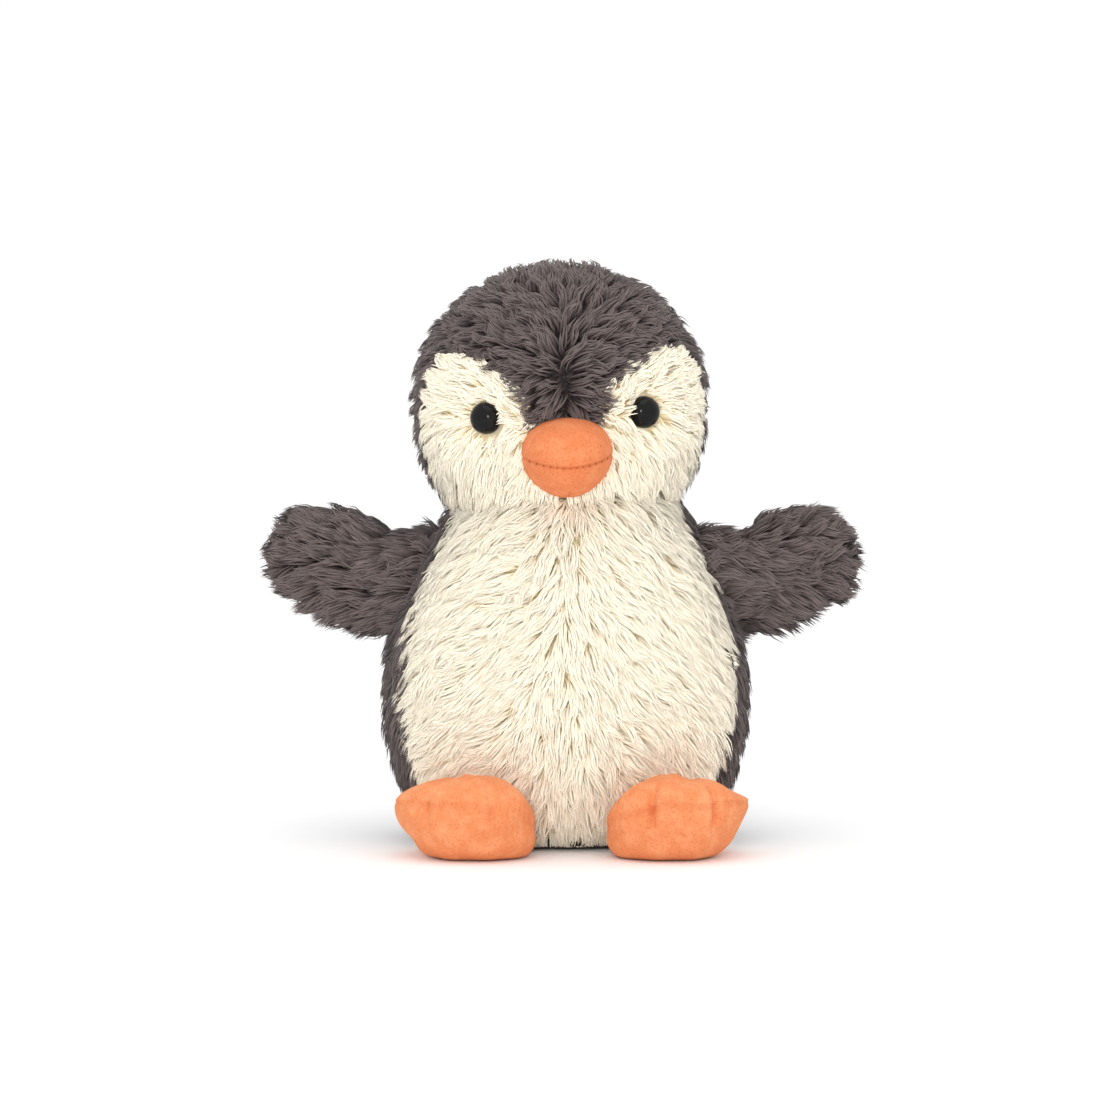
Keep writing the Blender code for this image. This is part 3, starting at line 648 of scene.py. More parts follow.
def grow_pile(name: str, patch: Patch, pile: Pile, finish: Finish) -> bpy.types.Object:
    """Locks of pile over a patch, gathered into pointed tufts that follow a flow.

    Each lock is a three-sided tapered tube along its centre line, closed at both ends. It is
    shaded partly by its own roundness and partly as the cloth below, which softens the pile.

    Args:
        name: The piece's name.
        patch: The cloth that the pile stands on.
        pile: The pile's cut, flow, lay and seed, and its bare places.
        finish: What the locks are made of.

    Returns:
        The piece.
    """
    cut, rng = pile.cut, np.random.default_rng(pile.seed)
    places, normals = patch.scatter(cut.cell, rng)
    if pile.bare is not None:
        kept = ~pile.bare(places)
        places, normals = places[kept], normals[kept]
    tufts, tuft_normals = patch.scatter(cut.tuft, rng)
    owner = nearest(places, tufts)
    tuft_heading = laid_on(pile.flow(tufts), tuft_normals)
    wander = rng.normal(0, cut.stray, len(tufts)) + 0.35 * waves(tufts, 0.022, rng)
    tuft_heading = turned_in_plane(tuft_heading, tuft_normals, wander)
    tuft_reach = 0.96 + cut.uneven * rng.uniform(-0.24, 0.24, len(tufts))
    tuft_rise = 0.98 + cut.uneven * rng.uniform(-0.28, 0.27, len(tufts))
    tuft_curl, tuft_tone = rng.normal(0, 0.0012, len(tufts)), rng.uniform(0, 1, len(tufts))
    count = len(places)
    own_heading = laid_on(pile.flow(places), normals)
    heading = laid_on(0.65 * tuft_heading[owner] + 0.35 * own_heading, normals)
    heading = turned_in_plane(heading, normals, rng.normal(0, 0.16, count))
    reach = tuft_reach[owner] * rng.uniform(0.65, 1.15, count)
    rise = tuft_rise[owner] * rng.uniform(0.75, 1.15, count)
    (along, high), (tuft_along, tuft_high) = pile.lay(places), pile.lay(tufts)
    reach, rise = reach * along, rise * high
    tuft_reach, tuft_rise = tuft_reach * tuft_along, tuft_rise * tuft_high
    t = np.append(np.array(cut.steps), 1.0)
    curl = tuft_curl[owner] + rng.normal(0, 0.0006, count)
    line = cut.bent(places, normals, heading, reach, rise, curl, t)
    tuft_line = cut.bent(tufts, tuft_normals, tuft_heading, tuft_reach, tuft_rise, tuft_curl, t)
    line += (tuft_line[owner] - line) * (cut.gather * t**1.4)[None, :, None]
    line[..., 2] = np.maximum(line[..., 2], FLOOR_CLEAR)
    return strands(name, line, normals, cut, rng, (1 - OWN_TONE) * tuft_tone[owner], finish)


def strands(name: str, line: Array, normals: Array, cut: PileCut, rng: np.random.Generator,
            base_tone: Array, finish: Finish) -> bpy.types.Object:
    """Three-sided tapered tubes along many centre lines at once, as one piece."""
    count, rings = len(line), len(cut.steps)
    tangent = unit(np.gradient(line, axis=1))[:, :rings]
    across = unit(np.cross(tangent, normals[:, None]))
    upward = np.cross(tangent, across)
    width = (cut.width * rng.uniform(0.7, 1.25, count))[:, None] * np.array(cut.taper)
    turn = np.array([0.5, 7 / 6, 11 / 6]) * np.pi
    flat = upward[:, :, None] * LOCK_FLATNESS
    ring = across[:, :, None] * np.cos(turn)[:, None] + flat * np.sin(turn)[:, None]
    tube = line[:, :rings, None] + ring * width[:, :, None, None]
    points = np.concatenate([tube.reshape(count, -1, 3), line[:, -1:]], axis=1)
    facing = [ring.reshape(count, -1, 3) * cut.roundness, tangent[:, -1:] * 0.3]
    facing = unit(np.concatenate(facing, axis=1) + normals[:, None])
    each = rings * 3 + 1
    k, s = np.meshgrid(np.arange(rings - 1), np.arange(3), indexing="ij")
    a, b = (k * 3 + s).ravel(), (k * 3 + (s + 1) % 3).ravel()
    last = (rings - 1) * 3 + np.arange(3)
    tip = np.stack([last, (rings - 1) * 3 + (np.arange(3) + 1) % 3, np.full(3, each - 1)], axis=1)
    one = np.vstack([np.stack([a, b, b + 3], 1), np.stack([a, b + 3, a + 3], 1), tip, [[2, 1, 0]]])
    faces = (one[None] + (np.arange(count) * each)[:, None, None]).reshape(-1, 3)
    tone = base_tone + OWN_TONE * rng.uniform(0, 1, count)
    piece = make_mesh(name, points.reshape(-1, 3), faces, tone=np.repeat(tone, each))
    along = np.append(np.repeat(cut.steps, 3), 1.0)
    around = np.append(np.tile(np.arange(3) / 3, rings), 0.5)
    corner = np.stack([around, along], axis=1)[one]
    span = corner[:, :, 0].max(1) - corner[:, :, 0].min(1)
    corner[..., 0] += (span > 0.5)[:, None] & (corner[:, :, 0] < 0.2)
    uv = np.broadcast_to(corner.reshape(1, -1, 2), (count, corner.shape[0] * 3, 2))
    layer = piece.data.uv_layers.new(name="lock")
    layer.uv.foreach_set("vector", uv.astype(np.float32).ravel())
    cells = math.ceil(math.sqrt(count))
    cell = np.stack([np.arange(count) % cells, np.arange(count) // cells], axis=1)[:, None]
    laid = (cell + 0.12 + 0.76 * np.clip(uv / np.array([4 / 3, 1.0]), 0, 1)) / cells
    layer = piece.data.uv_layers.new(name="OFBake")
    layer.uv.foreach_set("vector", laid.astype(np.float32).ravel())
    piece.data.uv_layers.active = piece.data.uv_layers["lock"]
    piece.data.uv_layers["lock"].active_render = True
    piece.data.normals_split_custom_set_from_vertices(facing.reshape(-1, 3))
    piece.data.materials.append(finish.material())
    return piece


def dress_panel(name: str, body: str, fabric: Fabric, patch: Patch, pile: Pile) -> bpy.types.Object:
    """A panel's backing cloth, which stands for its node, and the pile on it.

    Args:
        name: The node's name.
        body: The body that both pieces ride on.
        fabric: What the panel is cut from.
        patch: The cloth's outside.
        pile: How the pile on it lies.

    Returns:
        The backing cloth.
    """
    cloth = patch.cloth(f"{name}_cloth")
    cloth.data.materials.append(fabric.backing.material())
    settle(cloth, body, fabric.slot, name)
    settle(grow_pile(f"{name}_pile", patch, pile, fabric.locks), body, fabric.slot)
    return cloth


def middle_of(node: str) -> Array:
    """The middle of the box round a node."""
    low, high = (np.array(corner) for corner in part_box(node))
    return (low + high) / 2


AXIS_Y = float(middle_of("body_stuffing")[1])


# ---------------------------------------------------------------- torso
@dataclass
class Torso:
    """The pear-shaped body: four pile panels, a flat base, its filling and the pouch."""

    half_width: float = 0.069
    half_depth: float = 0.0575
    widest: float = 0.059
    sink: float = 0.063
    power: float = 2.6
    narrow_x: float = 5.7
    narrow_y: float = 3.27
    neck: float = 0.108
    dome: float = 0.048
    ball_from: float = 0.1245
    cloth_depth: float = 0.0052
    seam_low: float = math.radians(54)
    seam_rises: tuple[float, float] = (math.radians(16), math.radians(21))
    seam_top: float = 0.125
    bottom: float = 0.0045
    ball_top: float = math.radians(62)
    first_seed: int = 11
    belly_cut: PileCut = PileCut(length=0.0110, stand=0.0056, droop=0.0015, stray=0.22,
                                 cell=0.00094, width=0.00041, gather=0.54, uneven=0.6,
                                 roundness=0.4)
    back_cut: PileCut = PileCut(length=0.0120, stand=0.0062, droop=0.0018, cell=0.00128,
                                width=0.00052)

    def half_size(self, z: Array, widest: float, narrowing: float, inset: float) -> Array:
        """A superellipse below the widest ring, a parabola above it, then the neck's ball."""
        below = np.clip((self.widest - z) / self.sink, 0, 1)
        above = np.clip(z - self.widest, 0, None)
        pear = widest * (1 - below**self.power) ** (1 / self.power) - narrowing * above**2
        ball = np.sqrt(np.clip((self.dome - inset) ** 2 - (z - self.neck) ** 2, 0, None))
        return np.where(z < self.ball_from, np.maximum(pear - inset, ball), ball)

    def rings(self) -> Array:
        """Heights of the cloth's rings, even up the pear and then by latitude over the ball."""
        body = np.linspace(self.bottom, 0.112, 46)
        arc = np.linspace(math.radians(8), self.ball_top, 16)
        return np.append(body, self.neck + (self.dome - self.cloth_depth) * np.sin(arc))

    def surface(self, angles: Array, heights: Array, inset: float) -> Array:
        """Points at angles round the body, which may differ from ring to ring."""
        width = self.half_size(heights, self.half_width, self.narrow_x, inset)[:, None]
        depth = self.half_size(heights, self.half_depth, self.narrow_y, inset)[:, None]
        x, y = width * np.sin(angles), AXIS_Y - depth * np.cos(angles)
        return np.stack([x, y, np.broadcast_to(heights[:, None], x.shape)], axis=-1)

    def seam(self, z: Array, side: Side) -> Array:
        """Angle of the seam between belly and back at a height."""
        return self.seam_low + side.pick(self.seam_rises) * np.minimum(z / self.seam_top, 1) ** 0.7

    def panel(self, belly: bool, side: Side) -> Patch:
        """The cloth of half of the belly or of the back, below the pile."""
        heights = self.rings()
        share = np.linspace(0, 1, 44)
        seam = self.seam(heights, side)[:, None]
        angles = seam * share if belly else seam + (np.pi - seam) * share
        points = side.mirror(self.surface(angles, heights, self.cloth_depth))
        return Patch.of(points, np.array([0, AXIS_Y, self.widest]))

    def belly_flow(self, side: Side) -> Flow:
        """Brushed down and away from the parting, straight down at the bottom and the middle."""
        strength = side.pick((1.45, 0.85))

        def flow(p: Array) -> Array:
            """Directions of the pile at places of this half."""
            spread = 0.3 + strength * smooth(p[:, 2], 0.01, 0.055)
            out = smooth(np.abs(p[:, 0]), 0.0, 0.02) * spread
            out *= 1 - 0.5 * smooth(p[:, 2], 0.10, 0.14)
            return np.stack([side.value * out, np.zeros(len(p)), -np.ones(len(p))], axis=1)

        return flow

    def back_flow(self, side: Side) -> Flow:
        """Brushed down and a little outwards and back."""

        def flow(p: Array) -> Array:
            """Directions of the pile at places of this half."""
            ring = unit(np.stack([p[:, 0], p[:, 1] - AXIS_Y, np.zeros(len(p))], axis=1))
            across = np.stack([-ring[:, 1], ring[:, 0], np.zeros(len(p))], axis=1) * side.value
            down = np.array([0, 0, -1.0])
            sideways = np.cos(np.arctan2(ring[:, 1], ring[:, 0])) ** 2
            return down + across * (0.35 * sideways)[:, None]

        return flow

    def lay(self, p: Array) -> tuple[Array, Array]:
        """Shorter towards the floor and round the neck."""
        low = smooth(p[:, 2], -0.004, 0.016)
        high = smooth(p[:, 2], 0.152, 0.138)
        full = 1 + 0.2 * smooth(p[:, 2], 0.112, 0.128) * high
        reach = (0.35 + 0.65 * low) * (0.6 + 0.4 * high)
        return reach, (0.55 + 0.45 * np.minimum(low, high)) * full

    def build(self) -> None:
        """All of the torso's pieces."""
        for side in Side:
            for part, belly in (("belly", True), ("back", False)):
                flow = self.belly_flow(side) if belly else self.back_flow(side)
                cut = self.belly_cut if belly else self.back_cut
                pile = Pile(cut, flow, self.lay, self.first_seed + 2 * belly + side.value)
                cloth = dress_panel(f"{part}_{side.label}", "torso", IVORY if belly else GREY,
                                    self.panel(belly, side), pile)
        self.build_base()

    def build_base(self) -> None:
        """The flat oval panel that the toy sits on, rising a little round its edge."""
        low = np.array([self.bottom])
        width = float(self.half_size(low, self.half_width, self.narrow_x, 0.0)[0])
        depth = float(self.half_size(low, self.half_depth, self.narrow_y, 0.0)[0])
        turn = np.linspace(0, 2 * np.pi, 96, endpoint=False)
        share = np.array([0.0, 0.5, 0.9, 0.96, 1.0, 1.0, 0.96, 0.5, 0.0])[:, None]
        height = np.array([0.0, 0.0, 0.0, 0.0004, 0.0018, 0.0030, 0.0038, 0.0040, 0.0040])
        x, y = width * share * np.sin(turn), AXIS_Y - depth * share * np.cos(turn)
        grid = np.stack([x, y, np.broadcast_to(height[:, None], x.shape)], axis=-1)
        base = tube_of("base_cloth", grid, GREY_CLOTH)
        settle(base, "torso", "grey_pile", "base_panel")


# ---------------------------------------------------------------- head
@dataclass
class Head:
    """The round head: crown and cheeks in pile, eyes, and its filling."""

    middle: float = 0.171
    half_width: float = 0.056
    half_depth: float = 0.050
    rise: float = 0.0515
    drop: float = 0.0543
    power: float = 2.6
    neck: float = 0.108
    cup: float = 0.0506
    stitch_radius: float = 0.0437
    yaw: float = math.radians(2.5)
    lean: float = math.radians(-2)
    cloth_depth: float = 0.0052
    face_low: float = math.radians(-6)
    face_top: float = math.radians(22)
    face_peak: float = math.radians(14)
    face_brow: float = math.radians(50)
    face_side: float = math.radians(60)
    face_ends: tuple[float, float] = (math.radians(80), math.radians(85))
    eye_angle: float = math.radians(34.5)
    eye_latitude: float = math.radians(-2.5)
    eye_radius: float = 0.0062
    eye_height: float = 0.0056
    eye_sink: float = 0.0036    # depth of the dome's flat back below the pile
    first_seed: int = 31
    crown_cut: PileCut = PileCut(length=0.0095, stand=0.0056, droop=0.0006, cell=0.00112,
                                 width=0.00047)
    cheek_cut: PileCut = PileCut(length=0.0098, stand=0.0052, droop=0.0012, cell=0.00085,
                                 stray=0.22, width=0.00041, gather=0.54, uneven=0.6,
                                 roundness=0.4)

    def surface(self, angle: Array, latitude: Array, inset: float = 0.0) -> Array:
        """An ellipsoid above its middle and a superellipsoid of power 2.6 below it."""
        angle, latitude = np.broadcast_arrays(angle, latitude)
        sine, cosine = np.sin(latitude), np.clip(np.cos(latitude), 0, None)
        power = np.where(latitude < 0, 2 / self.power, 1.0)
        ring = cosine**power
        tall = np.where(latitude < 0, -(self.drop - inset), self.rise - inset)
        high = tall * np.abs(sine) ** power
        x = (self.half_width - inset) * ring * np.sin(angle)
        y = AXIS_Y - (self.half_depth - inset) * ring * np.cos(angle)
        return np.stack([x, y, self.middle + high], axis=-1)

    def rim(self, angle: Array, inset: float) -> Array:
        """Latitude where the head meets the hollow for the neck, found by halving."""
        low, high = np.full(np.shape(angle), math.radians(-80)), np.zeros(np.shape(angle))
        point = np.array([0, AXIS_Y, self.neck])
        for _ in range(30):
            half = (low + high) / 2
            inside = np.linalg.norm(self.surface(angle, half, inset) - point, axis=-1) < self.cup
            low, high = np.where(inside, half, low), np.where(inside, high, half)
        return high

    def below_seam(self, q: Array, side: Side) -> Array:
        """How far in latitude places of the left half lie below the face's seam, in radians."""
        angle = np.arctan2(q[:, 0] / self.half_width, (AXIS_Y - q[:, 1]) / self.half_depth)
        up = np.arcsin(np.clip((q[:, 2] - self.middle) / self.rise, 0, 1))
        down = np.arcsin(np.clip((self.middle - q[:, 2]) / self.drop, 0, 1) ** (self.power / 2))
        return self.face_seam(angle, side) - up + down

    def face_seam(self, angle: Array, side: Side) -> Array:
        """Latitude of the seam round the pale face: a low peak, an arched brow, a falling side."""
        rise = np.clip((angle - self.face_peak) / (self.face_brow - self.face_peak), 0, 1)
        arch = np.sqrt(np.sin(rise * np.pi / 2))
        end = side.pick(self.face_ends)
        fall = np.clip((angle - self.face_side) / (end - self.face_side), 0, None) ** 2
        depth = self.face_top - self.rim(np.array(end), 0.0)
        return self.face_low + (self.face_top - self.face_low) * arch - depth * fall

    @property
    def pivot(self) -> Array:
        """The neck point that the head turns about."""
        return np.array([0, AXIS_Y, self.neck])

    def placed(self, points: Array, side: Side) -> Array:
        """Points of the left half moved to a side and turned with the head."""
        return (side.mirror(points) - self.pivot) @ turn_matrix(self.yaw, self.lean).T + self.pivot

    def unplaced(self, points: Array) -> Array:
        """Places in the head's own straight-ahead frame."""
        return (points - self.pivot) @ turn_matrix(self.yaw, self.lean) + self.pivot

    def pointed(self, directions: Array, side: Side) -> Array:
        """Directions of the left half moved to a side and turned with the head."""
        return side.mirror(directions) @ turn_matrix(self.yaw, self.lean).T

    def panel(self, cheek: bool, side: Side) -> Patch:
        """The cloth of one cheek or of half of the crown, below the pile."""
        end, inset = side.pick(self.face_ends), self.cloth_depth
        if cheek:
            angles = np.linspace(0, end - math.radians(0.3), 60)
            low, high = self.rim(angles, inset), self.face_seam(angles, side)
        else:
            angles = np.append(np.linspace(0, end, 60), np.linspace(end, np.pi, 40)[1:])
            low = np.maximum(self.rim(angles, inset), self.face_seam(angles, side))
            high = np.full(angles.shape, math.radians(89.5))
        latitudes = low + (high - low) * np.linspace(0, 1, 44)[:, None]
        points = self.placed(self.surface(angles, latitudes, inset), side)
        return Patch.of(points, np.array([0, AXIS_Y, self.middle]))

    def eye_place(self) -> tuple[Array, Array]:
        """The left eye's place at the height of the pile, and its outward direction."""
        step = 1e-4
        place = self.surface(self.eye_angle, self.eye_latitude)
        across = self.surface(self.eye_angle + step, self.eye_latitude) - place
        upward = self.surface(self.eye_angle, self.eye_latitude + step) - place
        return place, unit(np.cross(across, upward))

    def bare(self, side: Side, beak: "Beak") -> Bare:
        """Where the face carries no pile: under an eye and under the beak."""
        place, out = self.eye_place()

        def test(p: Array) -> Array:
            """True at places without pile."""
            q = side.mirror(self.unplaced(p))
            offset = q - place
            offset = offset - out * (offset @ out)[:, None]
            upper = q[:, 2] > beak.seam_z - 0.002
            under = beak.covers(q, 0.84) & (upper | beak.covers(q, 0.45))
            return (np.linalg.norm(offset, axis=1) < self.eye_radius + 0.0005) | under

        return test

    def cheek_flow(self, side: Side, beak: "Beak") -> Flow:
        """Brushed away from the beak, down over the chin, and round the eye."""
        place, _ = self.eye_place()
        nose = np.array([0, AXIS_Y - self.half_depth, beak.seam_z + 0.004])

        def flow(p: Array) -> Array:
            """Directions of the pile at places of this cheek."""
            q = side.mirror(self.unplaced(p))
            away = unit(q - nose)
            down = np.array([0.25, 0, -1.0])
            lower = smooth(q[:, 2], 0.172, 0.150)[:, None]
            way = away * (1 - 0.75 * lower) + down * lower + np.array([0.1, 0, -0.15])
            from_eye = q - place
            near = np.exp(-((np.linalg.norm(from_eye, axis=1) / 0.011) ** 2))[:, None]
            out = unit(from_eye)
            heading = np.minimum(np.sum(unit(way) * out, axis=1, keepdims=True), 0)
            way = unit(way) + near * (0.6 - 1.5 * heading) * out
            return self.pointed(way, side)

        return flow

    def face_lay(self, side: Side, beak: "Beak") -> Lay:
        """Short and flat round the eye and the beak; locks that head for the eye stop at it."""
        place, _ = self.eye_place()
        flow = self.cheek_flow(side, beak)

        def lay(p: Array) -> tuple[Array, Array]:
            """Shares of the length and of the standing height."""
            q = side.mirror(self.unplaced(p))
            gap = place - q
            far = np.linalg.norm(gap, axis=1)
            way = side.mirror(unit(flow(p)) @ turn_matrix(self.yaw, self.lean))
            towards = np.clip(np.sum(way * gap, axis=1) / far, 0, 1)
            room = np.clip((far - self.eye_radius * 1.05) / self.cheek_cut.length, 0.16, 1)
            reach = 1 - smooth(towards, 0.15, 0.6) * (1 - room)
            flat = 0.5 + 0.5 * smooth(far, self.eye_radius, self.eye_radius + 0.008)
            by_beak = beak.covers(q, 1.25) & (q[:, 2] > beak.seam_z)
            inner = smooth(q[:, 0], 0.048, 0.038)
            from_seam = np.abs(self.below_seam(q, side))
            edge = smooth(from_seam, math.radians(12), math.radians(2)) * (0.6 + 0.4 * inner)
            by_eye = smooth(far, self.eye_radius + 0.0065, self.eye_radius + 0.0010)
            reach = reach * (1 - 0.5 * edge) * (1 - 0.6 * by_eye) * np.where(by_beak, 0.8, 1.0)
            return reach, flat * (1 - 0.15 * edge) * np.where(by_beak, 0.75, 1.0)

        return lay

    def crown_flow(self, side: Side) -> Flow:
        """Brushed away from an upright parting on the forehead, down at the sides and the back."""
        parting = np.array([0, AXIS_Y - self.half_depth * 0.9])

        def flow(p: Array) -> Array:
            """Directions of the pile at places of this half."""
            q = side.mirror(self.unplaced(p))
            high = q[:, 2] - np.clip(q[:, 2] - 0.003, self.middle + 0.008, self.middle + 0.024)
            away = unit(np.concatenate([q[:, :2] - parting, high[:, None]], axis=1))
            away[:, 0] += 0.75 * smooth(q[:, 2], 0.196, 0.180) * smooth(-q[:, 1], 0.0, 0.025)
            back = smooth(q[:, 1], AXIS_Y - 0.012, AXIS_Y + 0.035)[:, None]
            sides = smooth(q[:, 0], 0.036, 0.052)[:, None]
            way = away + np.array([0.1, 0.1, -0.9]) * back
            way += np.array([0.0, 0.45, -0.7]) * sides * (1 - back)
            return self.pointed(way, side)

        return flow

    def build(self, beak: "Beak") -> None:
        """Cloth and pile of the four panels, and both eyes."""
        for side in Side:
            for part, cheek in (("cheek", True), ("crown", False)):
                flow = self.cheek_flow(side, beak) if cheek else self.crown_flow(side)
                pile = Pile(self.cheek_cut if cheek else self.crown_cut, flow,
                            self.face_lay(side, beak), self.first_seed + 2 * cheek + side.value,
                            self.bare(side, beak))
                cloth = dress_panel(f"{part}_{side.label}", "head", IVORY if cheek else GREY,
                                    self.panel(cheek, side), pile)
            self.build_eye(side)
        angle = np.linspace(0, 2 * np.pi, 144, endpoint=False)
        edge = self.surface(angle, self.rim(angle, self.cloth_depth), self.cloth_depth)
        loop = self.pivot + unit(self.placed(edge, Side.LEFT) - self.pivot) * self.stitch_radius
        settle(thread_ring("neck_stitching", loop), "neck", "thread", "neck_thread")

    def build_eye(self, side: Side) -> None:
        """A polished dome, a superellipse of power 2.3 in profile, with a flat back and a shank."""
        radius, sink = self.eye_radius, self.eye_sink
        arc, power = np.linspace(0, np.pi / 2, 22), 2 / 2.3
        high = self.eye_height * np.cos(arc) ** power - sink
        dome = np.stack([radius * np.sin(arc) ** power, high], axis=1)
        back = np.array([[radius * 0.96, -sink - 0.0005], [0.0020, -sink - 0.0006],
                         [0.0020, -0.0125], [0.0015, -0.0129], [0.0, -0.0129]])
        profile = np.vstack([dome, back])
        turn = np.linspace(0, 2 * np.pi, 48, endpoint=False)
        place, out = self.eye_place()
        first = unit(np.cross(out, [0, 0, 1.0]))
        second = np.cross(out, first)
        ring = first * np.cos(turn)[:, None] + second * np.sin(turn)[:, None]
        grid = place + profile[:, :1, None] * ring + profile[:, 1:, None] * out
        name = f"eye_{side.label}"
        eye = tube_of(f"{name}_dome", self.placed(grid, side), EYE_GLOSS)
        settle(eye, "head", "eye_plastic", name)


# ---------------------------------------------------------------- beak
@dataclass
class Beak:
    """The stubby beak of short plush, with its level seam and the stitches along it."""

    head: Head
    half_width: float = 0.0175
    up: float = 0.0178
    down: float = 0.0132
    length: float = 0.021
    seam_z: float = 0.1480
    smile: float = 0.0034
    tuck: float = 0.0035

    def face(self, x: Array, z: Array) -> Array:
        """Y of the pile's front at a place across and up."""
        h = self.head
        below = np.clip((h.middle - z) / h.drop, 0, 1)
        above = np.clip((z - h.middle) / h.rise, 0, 1)
        ring = (1 - below**h.power) ** (1 / h.power) * np.sqrt(1 - above**2)
        across = np.clip(1 - (x / (h.half_width * ring)) ** 2, 0, 1)
        return AXIS_Y - h.half_depth * ring * np.sqrt(across)

    def covers(self, q: Array, share: float) -> Array:
        """True at places of the head behind the beak's outline, scaled by a share."""
        z = q[:, 2] - self.seam_z - self.smile * (q[:, 0] / self.half_width) ** 2
        tall = np.where(z > 0, self.up, self.down)
        inside = (q[:, 0] / self.half_width) ** 2 + (z / tall) ** 2 < share**2
        return inside & (q[:, 1] < AXIS_Y)

    def surface(self, turn: Array, reach: Array, inset: float = 0.0) -> Array:
        """Points round the base by turn and from base (1) to tip (0) by reach.

        The bulge is (1-reach^2.2)^0.6 of the length, and the seam curls up at its ends.
        """
        tall = np.where(np.sin(turn) > 0, self.up, self.down) - inset
        x = (self.half_width - inset) * reach * np.cos(turn)
        z = tall * reach * np.sin(turn)
        bulge = (self.length - inset) * np.clip(1 - reach**2.2, 0, 1) ** 0.6
        lift = self.smile * (x / self.half_width) ** 2
        root = self.face(x, self.seam_z + z) + self.tuck
        y = root - bulge - self.tuck * smooth(reach, 1.0, 0.8)
        return np.stack([x, y, self.seam_z + z + lift], axis=-1)

    def build(self) -> None:
        """The cover with its pinched seams, its nap, and the stitches."""
        turn = np.linspace(0, 2 * np.pi, 180, endpoint=False)
        reach = np.cos(np.linspace(0, np.pi / 2, 64))[:, None]
        grid = self.surface(turn, reach)
        seam = self.seam_share(turn, reach)
        normals = Patch.of(grid, np.array([0, AXIS_Y, self.seam_z])).normals
        grid = grid - normals * (0.00035 * seam)[..., None]
        back = grid[:1].copy()
        back[..., 1] = back[..., 1].mean() + 0.002
        back[..., 0], back[..., 2] = 0.0, self.seam_z
        whole = np.vstack([back, grid])
        placed = self.head.placed(whole, Side.LEFT)
        # The seam mask paints shade into the nap along the pinched seam and the dart.
        cover = tube_of("beak_cover", placed, BEAK_NAP, seam=np.vstack([seam[:1], seam]) * 0.55)
        settle(cover, "head", "orange_plush", "beak_upper", "beak_lower")
        self.build_stitches()

    def seam_share(self, turn: Array, reach: Array) -> Array:
        """How close a place is to the level seam or to the short dart below, from 0 to 1."""
        height = np.where(np.sin(turn) > 0, self.up, self.down) * reach * np.sin(turn)
        across = self.half_width * reach * np.cos(turn)
        level = np.exp(-((height / 0.0006) ** 2))
        dart = np.exp(-((across / 0.0007) ** 2)) * smooth(-height, 0.0075, 0.0125)
        return np.maximum(level, dart)

    def build_stitches(self) -> None:
        """Short threads that cross the level seam, each a bowed three-sided tube."""
        x = np.linspace(-0.0148, 0.0148, 13)
        reach = np.abs(x) / self.half_width
        turn = np.where(x > 0, 0.0, np.pi)
        middle = self.surface(turn, reach)
        t = np.linspace(-1, 1, 5)
        line = middle[:, None] + np.array([0, 0, 0.00055]) * t[None, :, None]
        line[..., 1] += 0.0009 * np.abs(t) ** 2 - 0.0001
        line = self.head.placed(line, Side.LEFT)
        out = np.broadcast_to(np.array([0, -1.0, 0]), middle.shape)
        cut = PileCut(width=0.00028, steps=(0.0, 0.3, 0.55, 0.85), taper=(0.5, 1.0, 1.0, 0.6))
        rng = np.random.default_rng(5)
        piece = strands("beak_stitches", line, out, cut, rng, np.zeros(len(x)), BEAK_THREAD)
        settle(piece, "head", "thread")


